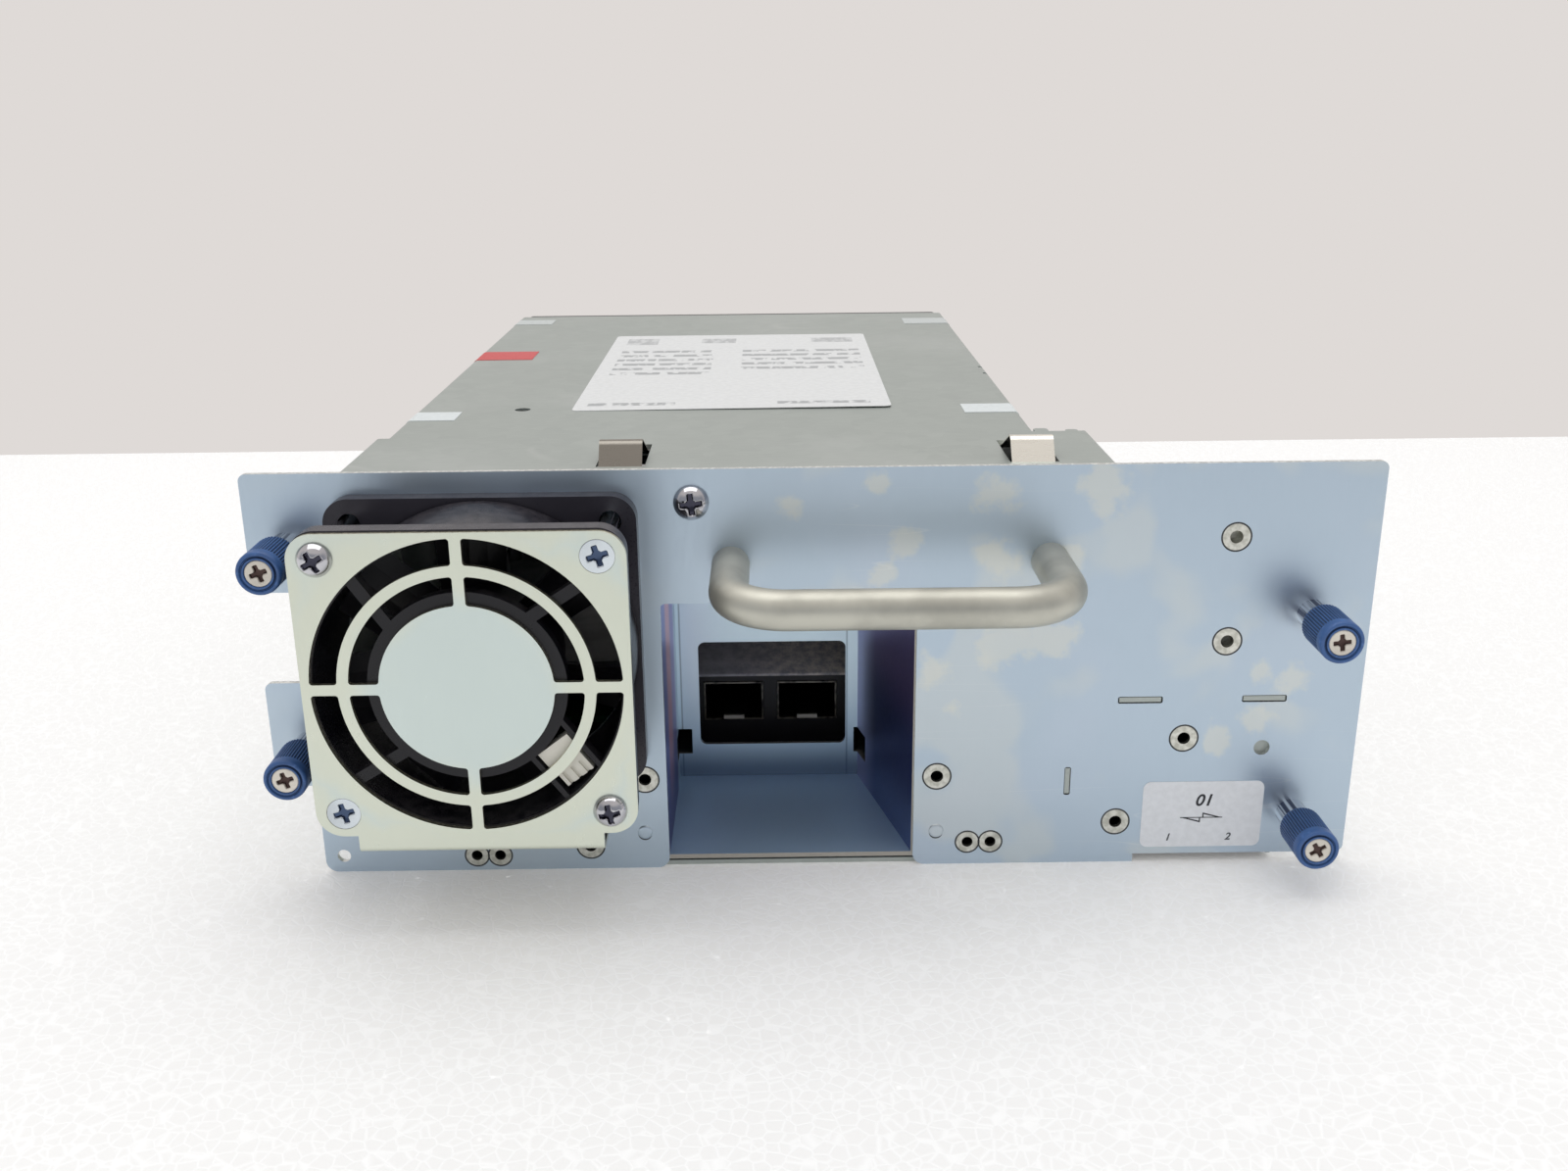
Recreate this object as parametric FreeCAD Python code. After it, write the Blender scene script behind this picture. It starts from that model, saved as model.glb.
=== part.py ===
import FreeCAD, Part
import math
import os

# Tape drive module for a tape library. X runs along the mounting panel, Y from the
# panel into the library, Z up. Sizes are in millimetres. While it is modelled, y = 0
# is the panel's outer face and z = 0 its foot; export() then moves the origin to the
# middle of the whole module's footprint.

V = FreeCAD.Vector

# ---- mounting panel ---------------------------------------------------------
panel_width = 221.5
panel_height = 86.0
panel_sheet = 1.2
panel_corner = 1.5
flag_reach = 8.05            # how far the two flags stand out of the left edge
upper_flag_foot = 62.0
lower_flag_top = 42.8
lower_flag_foot = 20.0
raised_edge_from = 66.6      # right of this the foot of the panel is raised
raised_edge = 1.8
leg_corner = 2.5

# ---- port pocket ------------------------------------------------------------
notch_left = -30.7
notch_width = 51.0
notch_top = 58.7
pocket_sheet = 1.0
pocket_floor = 2.4
pocket_depth = 38.6
pocket_slant = 9.5           # how far the right wall leans in at the back
window_left = -25.7
window_width = 33.7
window_foot = 10.5
window_height = 25.4
window_corner = 1.6
corner_slot_foot = 8.2
corner_slot_height = 6.2
corner_slot_wrap = 6.0

# ---- ports ------------------------------------------------------------------
port_face = 50.4             # front face of the port cages, from the panel's face
cage_width = 14.15
cage_height = 9.7
cage_sheet = 0.4
cage_length = 46.0
cage_left_x = -18.15
cage_pitch = 17.5
latch_tab_width = 4.8
port_bezel_slope = 12.0      # run of the bezel's sloping top
port_bezel_rise = 4.3
port_bezel_top = 22.9
port_bezel_length = 16.0
bezel_overlap = 2.0          # how far the bezel reaches past the window

# ---- boards -----------------------------------------------------------------
board_thickness = 1.6
board_top = 11.5
board_margin = 4.0
standoff_radius = 2.5
standoff_inset = 5.0
standoff_front = 20.0
standoff_back = 6.0
chip_height = 2.0
chip_places = ((-62.0, 172.0, 26.0, 26.0), (-20.0, 176.0, 20.0, 20.0), (20.0, 168.0, 24.0, 14.0),
               (-60.0, 214.0, 14.0, 22.0), (22.0, 104.0, 18.0, 18.0))
socket_height = 5.0
socket_places = ((-64.0, 104.0, 30.0, 12.0), (-20.0, 126.0, 40.0, 7.0))

# ---- covers -----------------------------------------------------------------
cover_top = 81.5
cover_sheet = 1.0
cover_bend = 1.2
drive_left = -95.0
drive_width = 146.0
module_end = 248.0           # far end, from the panel's face
rear_box_left = -97.6
rear_box_right = 63.1
rear_box_depth = 51.0
cover_skirt_foot = 10.0
tray_sheet = 1.0
tray_wall_top = 24.0
tray_front_right = 6.5       # tray's front edge under the panel's raised foot
sheet_gap = 0.1              # clearance between nested sheets
cover_hole_radius = 1.9
cover_hole_at = (-69.2, 80.5)
edge_notch = 1.6
edge_notch_at = (122.0, 132.0)
bezel_depth = 8.0
bezel_inset = 0.8
bezel_corner = 2.0
side_screw_z = 17.0
side_screw_y = (76.0, 150.0, 224.0)
side_screw_shank = 3.0
side_screw_head = 5.6
side_screw_rise = 1.5

# ---- earthing clips ---------------------------------------------------------
clip_width = 9.0
clip_sheet = 0.35
clip_rise = 4.9
clip_front = 21.6
clip_length = 19.0
clip_centres = (-39.7, 46.1)
clip_slot_side = 0.7
clip_tail = 3.0

# ---- pull handle ------------------------------------------------------------
handle_rod = 7.5
handle_left = -16.5
handle_spacing = 62.7
handle_z = 66.7
handle_reach = 27.3          # panel face to the grip's axis
handle_bend = 11.0
handle_screw = 4.0
handle_screw_length = 8.0

# ---- fan --------------------------------------------------------------------
fan_size = 60.0
fan_depth = 25.0
fan_pitch = 50.0
fan_x = -64.3
fan_z = 51.8
fan_corner = 5.0
fan_flange = 3.6
fan_hole = 4.3
duct_radius = 28.3
duct_wall = 1.1
hub_radius = 15.0
hub_base_radius = 18.3
hub_base_depth = 2.6
blade_count = 7
blade_sheet = 1.1
blade_chord = 14.5
blade_pitch_root = 48.0
blade_pitch_tip = 30.0
blade_tip_gap = 0.7
rotor_gap = 0.8              # between the struts and the rotor
rotor_back = 2.6             # rotor's cap to the panel's face
fan_shaft = 3.0
running_gap = 0.05
strut_width = 2.3
strut_angles = (33.0, 124.0, 211.0)
strut_offset = 4.5           # how far each strut passes beside the fan's centre
plug_angle = -53.0
plug_width = 7.0
plug_height = 2.6
header_length = 4.0
rib_width = 1.0              # the two ribs beside the plug
rib_offsets = (0.0, 9.0)
stator_height = 11.0

# ---- fan guard --------------------------------------------------------------
guard_sheet = 1.0
guard_width = 60.4
guard_height = 59.4
guard_disc = 16.0
guard_rings = ((16.0, 21.5), (23.6, 28.6))
guard_spoke = 2.1
guard_foot_left = -87.0
guard_foot_width = 46.3
guard_foot_drop = 3.65
guard_flange = 13.0
guard_screw = 3.5
guard_head = 6.4
pan_head_rise = 2.4

# ---- captive thumbscrews ----------------------------------------------------
knob_places = ((-103.1, 71.2), (-103.1, 29.1), (99.0, 54.9), (99.0, 11.0))
knob_diameter = 8.5
knob_length = 11.0
knob_reach = 16.5            # panel face to the knob's end, screw drawn back
knob_wall = 0.95
knob_ridges = 30
knob_ridge_depth = 0.25
knob_end_wall = 3.0
knob_travel = 4.0
ferrule_diameter = 6.2
ferrule_reach = 8.0
ferrule_lip = 1.2
captive_thread = 3.0
captive_shank = 2.4
captive_head = 5.2
captive_head_height = 2.0
captive_thread_length = 8.0
captive_tip = 1.5            # thread's end at rest, just inside the ferrule's foot
spring_wire = 0.35
spring_turns = 3.0

# ---- clinch studs, slots and the panel screw --------------------------------
stud_diameter = 5.6
stud_bore = 2.6
stud_length = 4.0
stud_places = ((-35.2, 20.4), (25.0, 20.3), (62.5, 9.4), (75.4, 28.2), (82.5, 49.3), (82.5, 71.1),
               (-47.1, 5.3))
pair_diameter = 4.75
pair_bore = 2.3
pair_places = ((31.7, 5.1), (36.5, 5.1), (-71.0, 3.4), (-66.15, 3.4))
panel_screw_at = (-23.9, 79.4)
panel_screw_head = 6.9
foot_hole_at = (-98.8, 3.7)
foot_hole = 2.8
plain_hole_at = (91.6, 25.9)
plain_hole = 3.3
press_gap = 0.02
screw_gap = 0.1

# ---- docking bracket --------------------------------------------------------
shelf_z = 36.8               # middle of the shelf sheet and of its two panel slots
shelf_slots = ((61.4, 70.5), (86.6, 95.7))
shelf_slot_height = 1.5
web_x = 52.0
web_slot = (15.7, 22.0)
web_slot_width = 1.3
bracket_sheet = 1.0
bracket_right = 96.0
bracket_depth = 44.0
flange_width = 9.0           # strip of the right wall turned in behind the panel
flange_foot = 20.0
flange_top = 32.0
docking_width = 38.0
docking_height = 11.0
docking_length = 10.0
docking_z = 19.0
dock_pin_radius = 1.8
dock_pin_length = 5.0

# ---- deck and cartridge path ------------------------------------------------
deck_foot = 22.0
deck_top = 26.0
deck_start = 53.0
deck_end = 236.0
deck_rail_foot = 12.0
deck_rail_width = 3.0
deck_rim = 2.5
drive_mid = -22.0            # middle of the drive across its width
cartridge_width = 102.0
cartridge_height = 21.5
cartridge_floor = 36.0
slot_margin = 2.0
slot_lead_in = 2.0

# ---- reels ------------------------------------------------------------------
reel_shaft = 6.0
supply_y = 192.0
chuck_radius = 16.0
chuck_foot = 28.3
chuck_body_top = 31.8
chuck_tooth = 2.0
chuck_teeth = 16
motor_base_radius = 22.0
motor_base_height = 2.0
takeup_y = 95.0
reel_radius = 41.0
reel_hub_radius = 22.0
reel_flange = 1.2
reel_foot = 38.0
tape_space = 13.0
reel_boss_radius = 14.0

# ---- tape guides and head ---------------------------------------------------
roller_places = ((-83.0, 150.0), (-85.0, 136.0), (-85.0, 102.0), (-82.0, 80.0))
roller_radius = 4.6
roller_rim = 0.9
roller_rim_height = 0.9
roller_foot = 39.0
roller_height = 15.0
roller_pin = 3.0
post_radius = 3.0
seat_gap = 0.3
cap_radius = 2.3
cap_height = 1.2
head_x = -87.0
head_y = 119.5
head_post = 3.0
head_post_spacing = 13.0
head_block = (10.0, 19.6, 19.0)
head_block_foot = 37.0
head_nose = (2.5, 11.0, 17.0)
head_travel = 3.0
bridge_z = 62.0
bridge_sheet = 1.5
lead_screw = 2.8
lead_journal = 1.8
actuator_radius = 4.3
actuator_height = 6.5

# ---- cartridge carriage and its drive ---------------------------------------
carriage_travel = 18.0
carriage_front = 160.0
carriage_length = 78.0
carriage_sheet = 1.5
carriage_wall = 1.3
carriage_wall_top = 58.0
carriage_side_gap = 0.3
carriage_floor = 33.5
carriage_window = 46.0
gear_module = 1.0
pressure_angle = 25.0
addendum = 0.8
dedendum = 1.15
tooth_play = 0.24
loader_teeth = 16
pinion_teeth = 10
loader_x = 39.5
loader_y = 150.0
loader_gear_foot = 46.0
gear_width = 4.0
rack_length = 34.0
motor_radius = 8.0
motor_shaft = 2.0
runner_width = 6.0
side_rail = 2.1

# ---- leader grabber ---------------------------------------------------------
grab_pivot = (26.0, 112.0)
grab_reach = 98.0
grab_rest = 167.6            # bearing of the arm at rest, in degrees
grab_z = 57.0
grab_sheet = 2.5
grab_width = 9.0
grab_tip = 4.0
grab_pin = 5.0
grab_boss = 5.0
grab_boss_drop = 7.0
grab_foot = 41.0
grab_teeth = 28
grab_gear_width = 3.0
thread_bearing = -60.0

module_front = handle_reach + handle_rod / 2
origin_shift = V(0, (module_front - module_end) / 2, 0)
drive_right = drive_left + drive_width
notch_right = notch_left + notch_width


# ---- shape helpers ----------------------------------------------------------
def box(x0, x1, y0, y1, z0, z1):
    return Part.makeBox(x1 - x0, y1 - y0, z1 - z0, V(x0, y0, z0))


def rod_x(radius, y, z, x0, x1):
    return Part.makeCylinder(radius, x1 - x0, V(x0, y, z), V(1, 0, 0))


def rod_y(radius, x, z, y0, y1):
    return Part.makeCylinder(radius, y1 - y0, V(x, y0, z), V(0, 1, 0))


def rod_z(radius, x, y, z0, z1):
    return Part.makeCylinder(radius, z1 - z0, V(x, y, z0), V(0, 0, 1))


def in_plane(plane, u, v, level):
    if plane == "xy":
        return V(u, v, level)
    if plane == "xz":
        return V(u, level, v)
    return V(level, u, v)


def outline(plane, points, level):
    """Closed wire through (u, v) or (u, v, radius) corners, rounded where a radius is given."""
    corners = [p if len(p) == 3 else (p[0], p[1], 0.0) for p in points]
    count = len(corners)
    edges = []
    runs = []
    for i in range(count):
        before = V(corners[i - 1][0], corners[i - 1][1], 0)
        here = V(corners[i][0], corners[i][1], 0)
        after = V(corners[(i + 1) % count][0], corners[(i + 1) % count][1], 0)
        radius = corners[i][2]
        if radius == 0:
            runs.append((here, here, None))
            continue
        back = (before - here).normalize()
        ahead = (after - here).normalize()
        half = math.acos(max(-1.0, min(1.0, back.dot(ahead)))) / 2
        reach = radius / math.tan(half)
        bisector = (back + ahead).normalize()
        middle = here + bisector * (radius / math.sin(half) - radius)
        runs.append((here + back * reach, here + ahead * reach, middle))
    for i in range(count):
        start, stop, middle = runs[i]
        if middle is not None:
            arc = [in_plane(plane, q.x, q.y, level) for q in (start, middle, stop)]
            edges.append(Part.Arc(*arc).toShape())
        following = runs[(i + 1) % count][0]
        if (following - stop).Length > 1e-6:
            a = in_plane(plane, stop.x, stop.y, level)
            b = in_plane(plane, following.x, following.y, level)
            edges.append(Part.LineSegment(a, b).toShape())
    return Part.Wire(edges)


def plate(plane, points, low, high):
    """The outline, filled and carried from low to high along the plane's normal."""
    along = {"xy": V(0, 0, 1), "xz": V(0, 1, 0), "yz": V(1, 0, 0)}[plane]
    return Part.Face(outline(plane, points, low)).extrude(along * (high - low))


def rounded_rectangle(u0, u1, v0, v1, radius):
    return [(u0, v0, radius), (u1, v0, radius), (u1, v1, radius), (u0, v1, radius)]


def turned(points, centre, axis):
    """Solid of revolution; points are (radius, distance along axis)."""
    side = V(1, 0, 0) if abs(axis.x) < 0.5 else V(0, 0, 1)
    corners = [centre + side * r + axis * h for r, h in points]
    face = Part.Face(Part.makePolygon(corners + [corners[0]]))
    return face.revolve(centre, axis, 360)


def joined(shapes):
    return shapes[0].multiFuse(shapes[1:]).removeSplitter() if len(shapes) > 1 else shapes[0]


def cross_recess(x, y, z, size, depth):
    """Phillips recess cut along +Y from the point (x, y, z)."""
    arm = size * 0.2
    flat = box(x - size / 2, x + size / 2, y, y + depth, z - arm / 2, z + arm / 2)
    return flat.fuse(flat.rotated(V(x, y, z), V(0, 1, 0), 90))


def tooth_outline(teeth, bearing):
    """Involute spur gear as a list of (x, y) about its own centre, a tooth at bearing degrees."""
    pitch_radius = gear_module * teeth / 2
    base_radius = pitch_radius * math.cos(math.radians(pressure_angle))
    tip_radius = pitch_radius + addendum * gear_module
    root_radius = pitch_radius - dedendum * gear_module
    involute = math.tan(math.radians(pressure_angle)) - math.radians(pressure_angle)

    def half_angle(radius):
        turn = math.acos(min(1.0, base_radius / radius))
        at_pitch = math.pi / (2 * teeth) - tooth_play / (4 * pitch_radius)
        return at_pitch + involute - (math.tan(turn) - turn)

    flank_start = max(base_radius, root_radius)
    flank = [(root_radius, half_angle(flank_start))] if root_radius < base_radius else []
    for step in range(3):
        radius = flank_start + (tip_radius - flank_start) * step / 2
        flank.append((radius, half_angle(radius)))
    points = []
    for i in range(teeth):
        middle = math.radians(bearing) + 2 * math.pi * i / teeth
        side = [(r, middle - a) for r, a in flank] + [(r, middle + a) for r, a in reversed(flank)]
        points += [(r * math.cos(a), r * math.sin(a)) for r, a in side]
    return points


def gear(teeth, bearing, x, y, z0, z1):
    points = [(x + u, y + v) for u, v in tooth_outline(teeth, bearing)]
    return plate("xy", points, z0, z1)


def export(node, *solids):
    shape = Part.makeCompound(list(solids)) if len(solids) > 1 else solids[0]
    shape = shape.copy()
    shape.translate(origin_shift)
    shape.exportStep("parts/" + node + ".step")


# ---- mounting panel and what is pressed into it -----------------------------
def mounting_panel():
    left = -panel_width / 2
    right = panel_width / 2
    inner = left + flag_reach
    edge = [
        (inner, 0, leg_corner),
        (notch_left, 0, leg_corner),
        (notch_left, notch_top, 1.0),
        (notch_right, notch_top, 1.0),
        (notch_right, 0, leg_corner),
        (raised_edge_from, 0),
        (raised_edge_from, raised_edge),
        (right, raised_edge, panel_corner),
        (right, panel_height, panel_corner),
        (left, panel_height, panel_corner),
        (left, upper_flag_foot, panel_corner),
        (inner, upper_flag_foot),
        (inner, lower_flag_top),
        (left, lower_flag_top, panel_corner),
        (left, lower_flag_foot, panel_corner),
        (inner, lower_flag_foot),
    ]
    panel = plate("xz", edge, 0, panel_sheet)
    past = 1.0

    def hole(diameter, x, z):
        return rod_y(diameter / 2, x, z, -past, panel_sheet + past)

    cuts = [hole(2 * duct_radius, fan_x, fan_z)]
    cuts += [hole(guard_screw + 2 * press_gap, x, z) for x, z in fan_corners()]
    cuts += [hole(stud_diameter + 2 * press_gap, x, z) for x, z in stud_places]
    cuts += [hole(pair_diameter + 2 * press_gap, x, z) for x, z in pair_places]
    cuts += [hole(ferrule_diameter - 0.6 + 2 * press_gap, x, z) for x, z in knob_places]
    cuts += [hole(handle_screw + 2 * screw_gap, x, handle_z) for x in handle_legs()]
    cuts += [hole(3.0 + 2 * press_gap, *panel_screw_at)]
    cuts += [hole(foot_hole, *foot_hole_at), hole(plain_hole, *plain_hole_at)]
    half = shelf_slot_height / 2
    for x0, x1 in shelf_slots:
        slot = rounded_rectangle(x0, x1, shelf_z - half, shelf_z + half, 0.4)
        cuts.append(plate("xz", slot, -past, panel_sheet + past))
    half = web_slot_width / 2
    slot = rounded_rectangle(web_x - half, web_x + half, web_slot[0], web_slot[1], 0.4)
    cuts.append(plate("xz", slot, -past, panel_sheet + past))
    return panel.cut(cuts)


def clinch_stud(diameter, bore, x, z):
    """Flush-headed stud: its head fills the panel hole and a narrower barrel stands behind."""
    head = rod_y(diameter / 2, x, z, 0, panel_sheet)
    barrel = rod_y(diameter / 2 - 0.5, x, z, panel_sheet, stud_length)
    return head.fuse(barrel).cut(rod_y(bore / 2, x, z, -1, stud_length - 0.8))


def pan_screw(x, z, face, head, shank, length):
    """Pan-head screw driven along +Y, its head seated on the plane y = face."""
    r = head / 2
    rise = pan_head_rise
    profile = [(0, -rise), (r * 0.5, -rise * 0.93), (r * 0.82, -rise * 0.66), (r, -rise * 0.2), (r, 0),
               (shank / 2, 0), (shank / 2, length), (0, length)]
    screw = turned(profile, V(x, face, z), V(0, 1, 0))
    return screw.cut(cross_recess(x, face - rise - 0.1, z, r * 1.15, 1.3))


def flat_screw(x, z, face, head, shank, length):
    """Countersunk screw driven along +Y, its head flush with the plane y = face."""
    r = head / 2
    profile = [(0, 0), (r, 0), (r, 0.25), (shank / 2, guard_sheet), (shank / 2, length), (0, length)]
    screw = turned(profile, V(x, face, z), V(0, 1, 0))
    return screw.cut(cross_recess(x, face - 0.1, z, r * 1.15, 1.0))


# ---- pull handle ------------------------------------------------------------
def handle_legs():
    return (handle_left, handle_left + handle_spacing)


def pull_handle():
    left, right = handle_legs()
    grip = -handle_reach
    bend = handle_bend
    corner = bend * (1 - math.cos(math.radians(45)))
    path = Part.Wire([
        Part.LineSegment(V(left, 0, handle_z), V(left, grip + bend, handle_z)).toShape(),
        Part.Arc(V(left, grip + bend, handle_z), V(left + corner, grip + corner, handle_z),
                 V(left + bend, grip, handle_z)).toShape(),
        Part.LineSegment(V(left + bend, grip, handle_z), V(right - bend, grip, handle_z)).toShape(),
        Part.Arc(V(right - bend, grip, handle_z), V(right - corner, grip + corner, handle_z),
                 V(right, grip + bend, handle_z)).toShape(),
        Part.LineSegment(V(right, grip + bend, handle_z), V(right, 0, handle_z)).toShape(),
    ])
    section = Part.Wire([Part.makeCircle(handle_rod / 2, V(left, 0, handle_z), V(0, 1, 0))])
    rod = path.makePipeShell([section], True, True)
    taps = [rod_y(handle_screw / 2 + press_gap, x, handle_z, -handle_screw_length - 0.5, 0.5)
            for x in (left, right)]
    return rod.cut(taps)


def handle_screw_solid(x):
    head = handle_screw * 0.85
    profile = [(0, -handle_screw_length), (handle_screw / 2, -handle_screw_length),
               (handle_screw / 2, panel_sheet), (head, panel_sheet), (head, panel_sheet + 1.2),
               (head * 0.75, panel_sheet + 2.2), (0, panel_sheet + 2.4)]
    return turned(profile, V(x, 0, handle_z), V(0, 1, 0))


# ---- fan --------------------------------------------------------------------
def fan_corners():
    half = fan_pitch / 2
    return [(fan_x + a * half, fan_z + b * half) for a, b in ((-1, 1), (1, 1), (-1, -1), (1, -1))]


def fan_square(low, high, size, corner):
    half = size / 2
    return plate("xz", rounded_rectangle(fan_x - half, fan_x + half, fan_z - half, fan_z + half, corner),
                 low, high)


def about_fan(shape, angle):
    return shape.rotated(V(fan_x, 0, fan_z), V(0, -1, 0), angle)


def skew_strut(angle, offset, width):
    """Bar from the hub base to the duct that passes the fan's centre at the given offset."""
    near = math.sqrt(hub_base_radius ** 2 - offset ** 2) - 1.5
    far = math.sqrt((duct_radius + duct_wall / 2) ** 2 - offset ** 2)
    middle = fan_z + offset
    bar = box(fan_x + near, fan_x + far, -fan_depth, -fan_depth + hub_base_depth,
              middle - width / 2, middle + width / 2)
    return about_fan(bar, angle)


def fan_frame():
    face = -fan_depth
    front = fan_square(face, face + fan_flange, fan_size, fan_corner)
    back = fan_square(-fan_flange, 0, fan_size, fan_corner)
    duct = rod_y(duct_radius + duct_wall, fan_x, fan_z, face, 0)
    ribs = []
    rib_reach = fan_size / math.sqrt(2) - fan_corner
    for angle in (45, 135, 225, 315):
        rib = box(fan_x + duct_radius, fan_x + rib_reach, face + fan_flange, -fan_flange,
                  fan_z - 0.7, fan_z + 0.7)
        ribs.append(about_fan(rib, angle))
    frame = joined([front, back, duct] + ribs)
    cuts = [rod_y(duct_radius, fan_x, fan_z, face - 1, 1)]
    cuts += [rod_y(fan_hole / 2, x, z, face - 1, 1) for x, z in fan_corners()]
    frame = frame.cut(cuts)
    base_end = face + hub_base_depth
    base = rod_y(hub_base_radius, fan_x, fan_z, face, base_end)
    bearing = rod_y(fan_shaft / 2 + 2.4, fan_x, fan_z, base_end, -rotor_back - 4)
    struts = [skew_strut(angle, strut_offset, strut_width) for angle in strut_angles]
    struts += [skew_strut(plug_angle, offset, rib_width) for offset in rib_offsets]
    frame = joined([frame, base, bearing] + struts)
    bore = rod_y(fan_shaft / 2 + running_gap, fan_x, fan_z, base_end - 1.4, 0)
    return frame.cut(bore)


def fan_stator():
    """Four-pole motor core round the bearing tube."""
    inner = fan_shaft / 2 + 2.4
    low = -fan_depth + hub_base_depth
    core = rod_y(inner + 2.2, fan_x, fan_z, low, low + stator_height)
    poles = []
    for angle in (0, 90, 180, 270):
        stem = box(fan_x, fan_x + 10.5, low + 2, low + stator_height - 2, fan_z - 1.6, fan_z + 1.6)
        shoe = box(fan_x + 9.3, fan_x + 10.9, low + 2, low + stator_height - 2, fan_z - 5.4, fan_z + 5.4)
        poles.append(about_fan(stem.fuse(shoe), angle))
    return joined([core] + poles).cut(rod_y(inner + press_gap, fan_x, fan_z, low - 1,
                                                low + stator_height + 1))


def blade_section(radius, pitch, middle):
    """Cambered blade section on the plane at the given radius, as a closed wire."""
    slant = math.radians(pitch)
    upper = []
    lower = []
    for step in range(5):
        t = step / 4 - 0.5
        camber = blade_chord * 0.11 * (1 - 4 * t * t)
        thick = blade_sheet * (1 - 3.2 * t * t) / 2
        along = t * blade_chord
        for rail, lift in ((upper, camber + thick), (lower, camber - thick)):
            tangent = along * math.cos(slant) - lift * math.sin(slant)
            axial = along * math.sin(slant) + lift * math.cos(slant)
            rail.append(V(fan_x + tangent, middle + axial, fan_z + radius))
    ring = upper + list(reversed(lower))
    return Part.makePolygon(ring + [ring[0]])


def fan_rotor():
    start = -fan_depth + hub_base_depth + rotor_gap
    cap = -rotor_back
    middle = (start + cap) / 2
    wall = 1.6
    profile = [(0, start), (fan_shaft / 2, start), (fan_shaft / 2, cap - wall),
               (hub_radius - wall, cap - wall),
               (hub_radius - wall, start), (hub_radius, start), (hub_radius, cap - 1.2),
               (hub_radius - 1.2, cap), (0, cap)]
    hub = turned(profile, V(fan_x, 0, fan_z), V(0, 1, 0))
    tip = duct_radius - blade_tip_gap
    sections = [blade_section(hub_radius - 1.2, blade_pitch_root, middle),
                blade_section(tip + 3, blade_pitch_tip, middle)]
    blade = Part.makeLoft(sections, True, True)
    keep = rod_y(tip, fan_x, fan_z, start, cap).cut(rod_y(hub_radius - 0.8, fan_x, fan_z, start - 1,
                                                          cap + 1))
    blade = blade.common(keep)
    blades = [about_fan(blade, 360 * i / blade_count) for i in range(blade_count)]
    return joined([hub] + blades)


def plug_block(inner, outer, width, low, high):
    middle = fan_z + sum(rib_offsets) / 2
    block = box(fan_x + inner, fan_x + outer, low, high, middle - width / 2, middle + width / 2)
    return about_fan(block, plug_angle)


def fan_header():
    low = -fan_depth + 0.5
    inner = hub_base_radius + 0.1
    return plug_block(inner, inner + header_length, plug_width, low, low + plug_height)


def fan_plug():
    low = -fan_depth + 0.4
    inner = hub_base_radius + 0.1 + header_length
    middle = sum(rib_offsets) / 2
    outer = math.sqrt((duct_radius - 0.4) ** 2 - (middle + plug_width / 2) ** 2)
    body = plug_block(inner, outer, plug_width - 0.8, low, low + plug_height)
    grooves = []
    for offset in (-2.0, 0.0, 2.0):
        centre = fan_z + middle + offset
        groove = box(fan_x + inner + 1.6, fan_x + duct_radius, low - 1, low + 0.5, centre - 0.4,
                     centre + 0.4)
        grooves.append(about_fan(groove, plug_angle))
    return body.cut(grooves)


def ring_slot(inner, outer, quarter):
    """One quarter slot of the guard between two radii, its sides parallel to the spokes."""
    face = -fan_depth - guard_sheet
    ring = rod_y(outer, fan_x, fan_z, face - 1, 1 - fan_depth)
    ring = ring.cut(rod_y(inner, fan_x, fan_z, face - 2, 2 - fan_depth))
    half = guard_spoke / 2
    far = outer + 1
    corner = box(fan_x + half, fan_x + far, face - 1, 1 - fan_depth, fan_z + half, fan_z + far)
    slot = ring.common(corner)
    edges = [e for e in slot.Edges if abs(e.Vertexes[0].Y - e.Vertexes[-1].Y) > 1]
    return about_fan(slot.makeFillet(0.6, edges), 90 * quarter)


def fan_guard():
    face = -fan_depth - guard_sheet
    half = guard_width / 2
    low = fan_z - guard_height / 2
    high = fan_z + guard_height / 2
    sheet = plate("xz", rounded_rectangle(fan_x - half, fan_x + half, low, high, fan_corner), face,
                  -fan_depth)
    left = guard_foot_left
    right = left + guard_foot_width
    foot = box(left, right, face, -fan_depth, low - guard_foot_drop, low + 1)
    side = plate("yz", [(face, low - guard_foot_drop, 1.2), (face + guard_flange, low - guard_foot_drop),
                        (face + guard_flange, low - guard_foot_drop + guard_sheet),
                        (face + guard_sheet, low - guard_foot_drop + guard_sheet),
                        (face + guard_sheet, low - 1), (face, low - 1)], left, right)
    foot = foot.cut(box(left - 1, right + 1, face - 1, face + 1.2, low - guard_foot_drop - 1,
                        low - guard_foot_drop + 1.2))
    guard = joined([sheet, foot, side])
    cuts = [ring_slot(inner, outer, quarter) for inner, outer in guard_rings for quarter in range(4)]
    corners = fan_corners()
    for i in (1, 2):
        x, z = corners[i]
        r = guard_head / 2 + press_gap
        cuts.append(turned([(0, -0.5), (r, -0.5), (r, 0.25), (guard_screw / 2 + press_gap, guard_sheet),
                            (guard_screw / 2 + press_gap, guard_sheet + 0.5), (0, guard_sheet + 0.5)],
                           V(x, face, z), V(0, 1, 0)))
    cuts += [rod_y(guard_screw / 2 + screw_gap, *corners[i], face - 1, 1 - fan_depth) for i in (0, 3)]
    return guard.cut(cuts)


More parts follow.
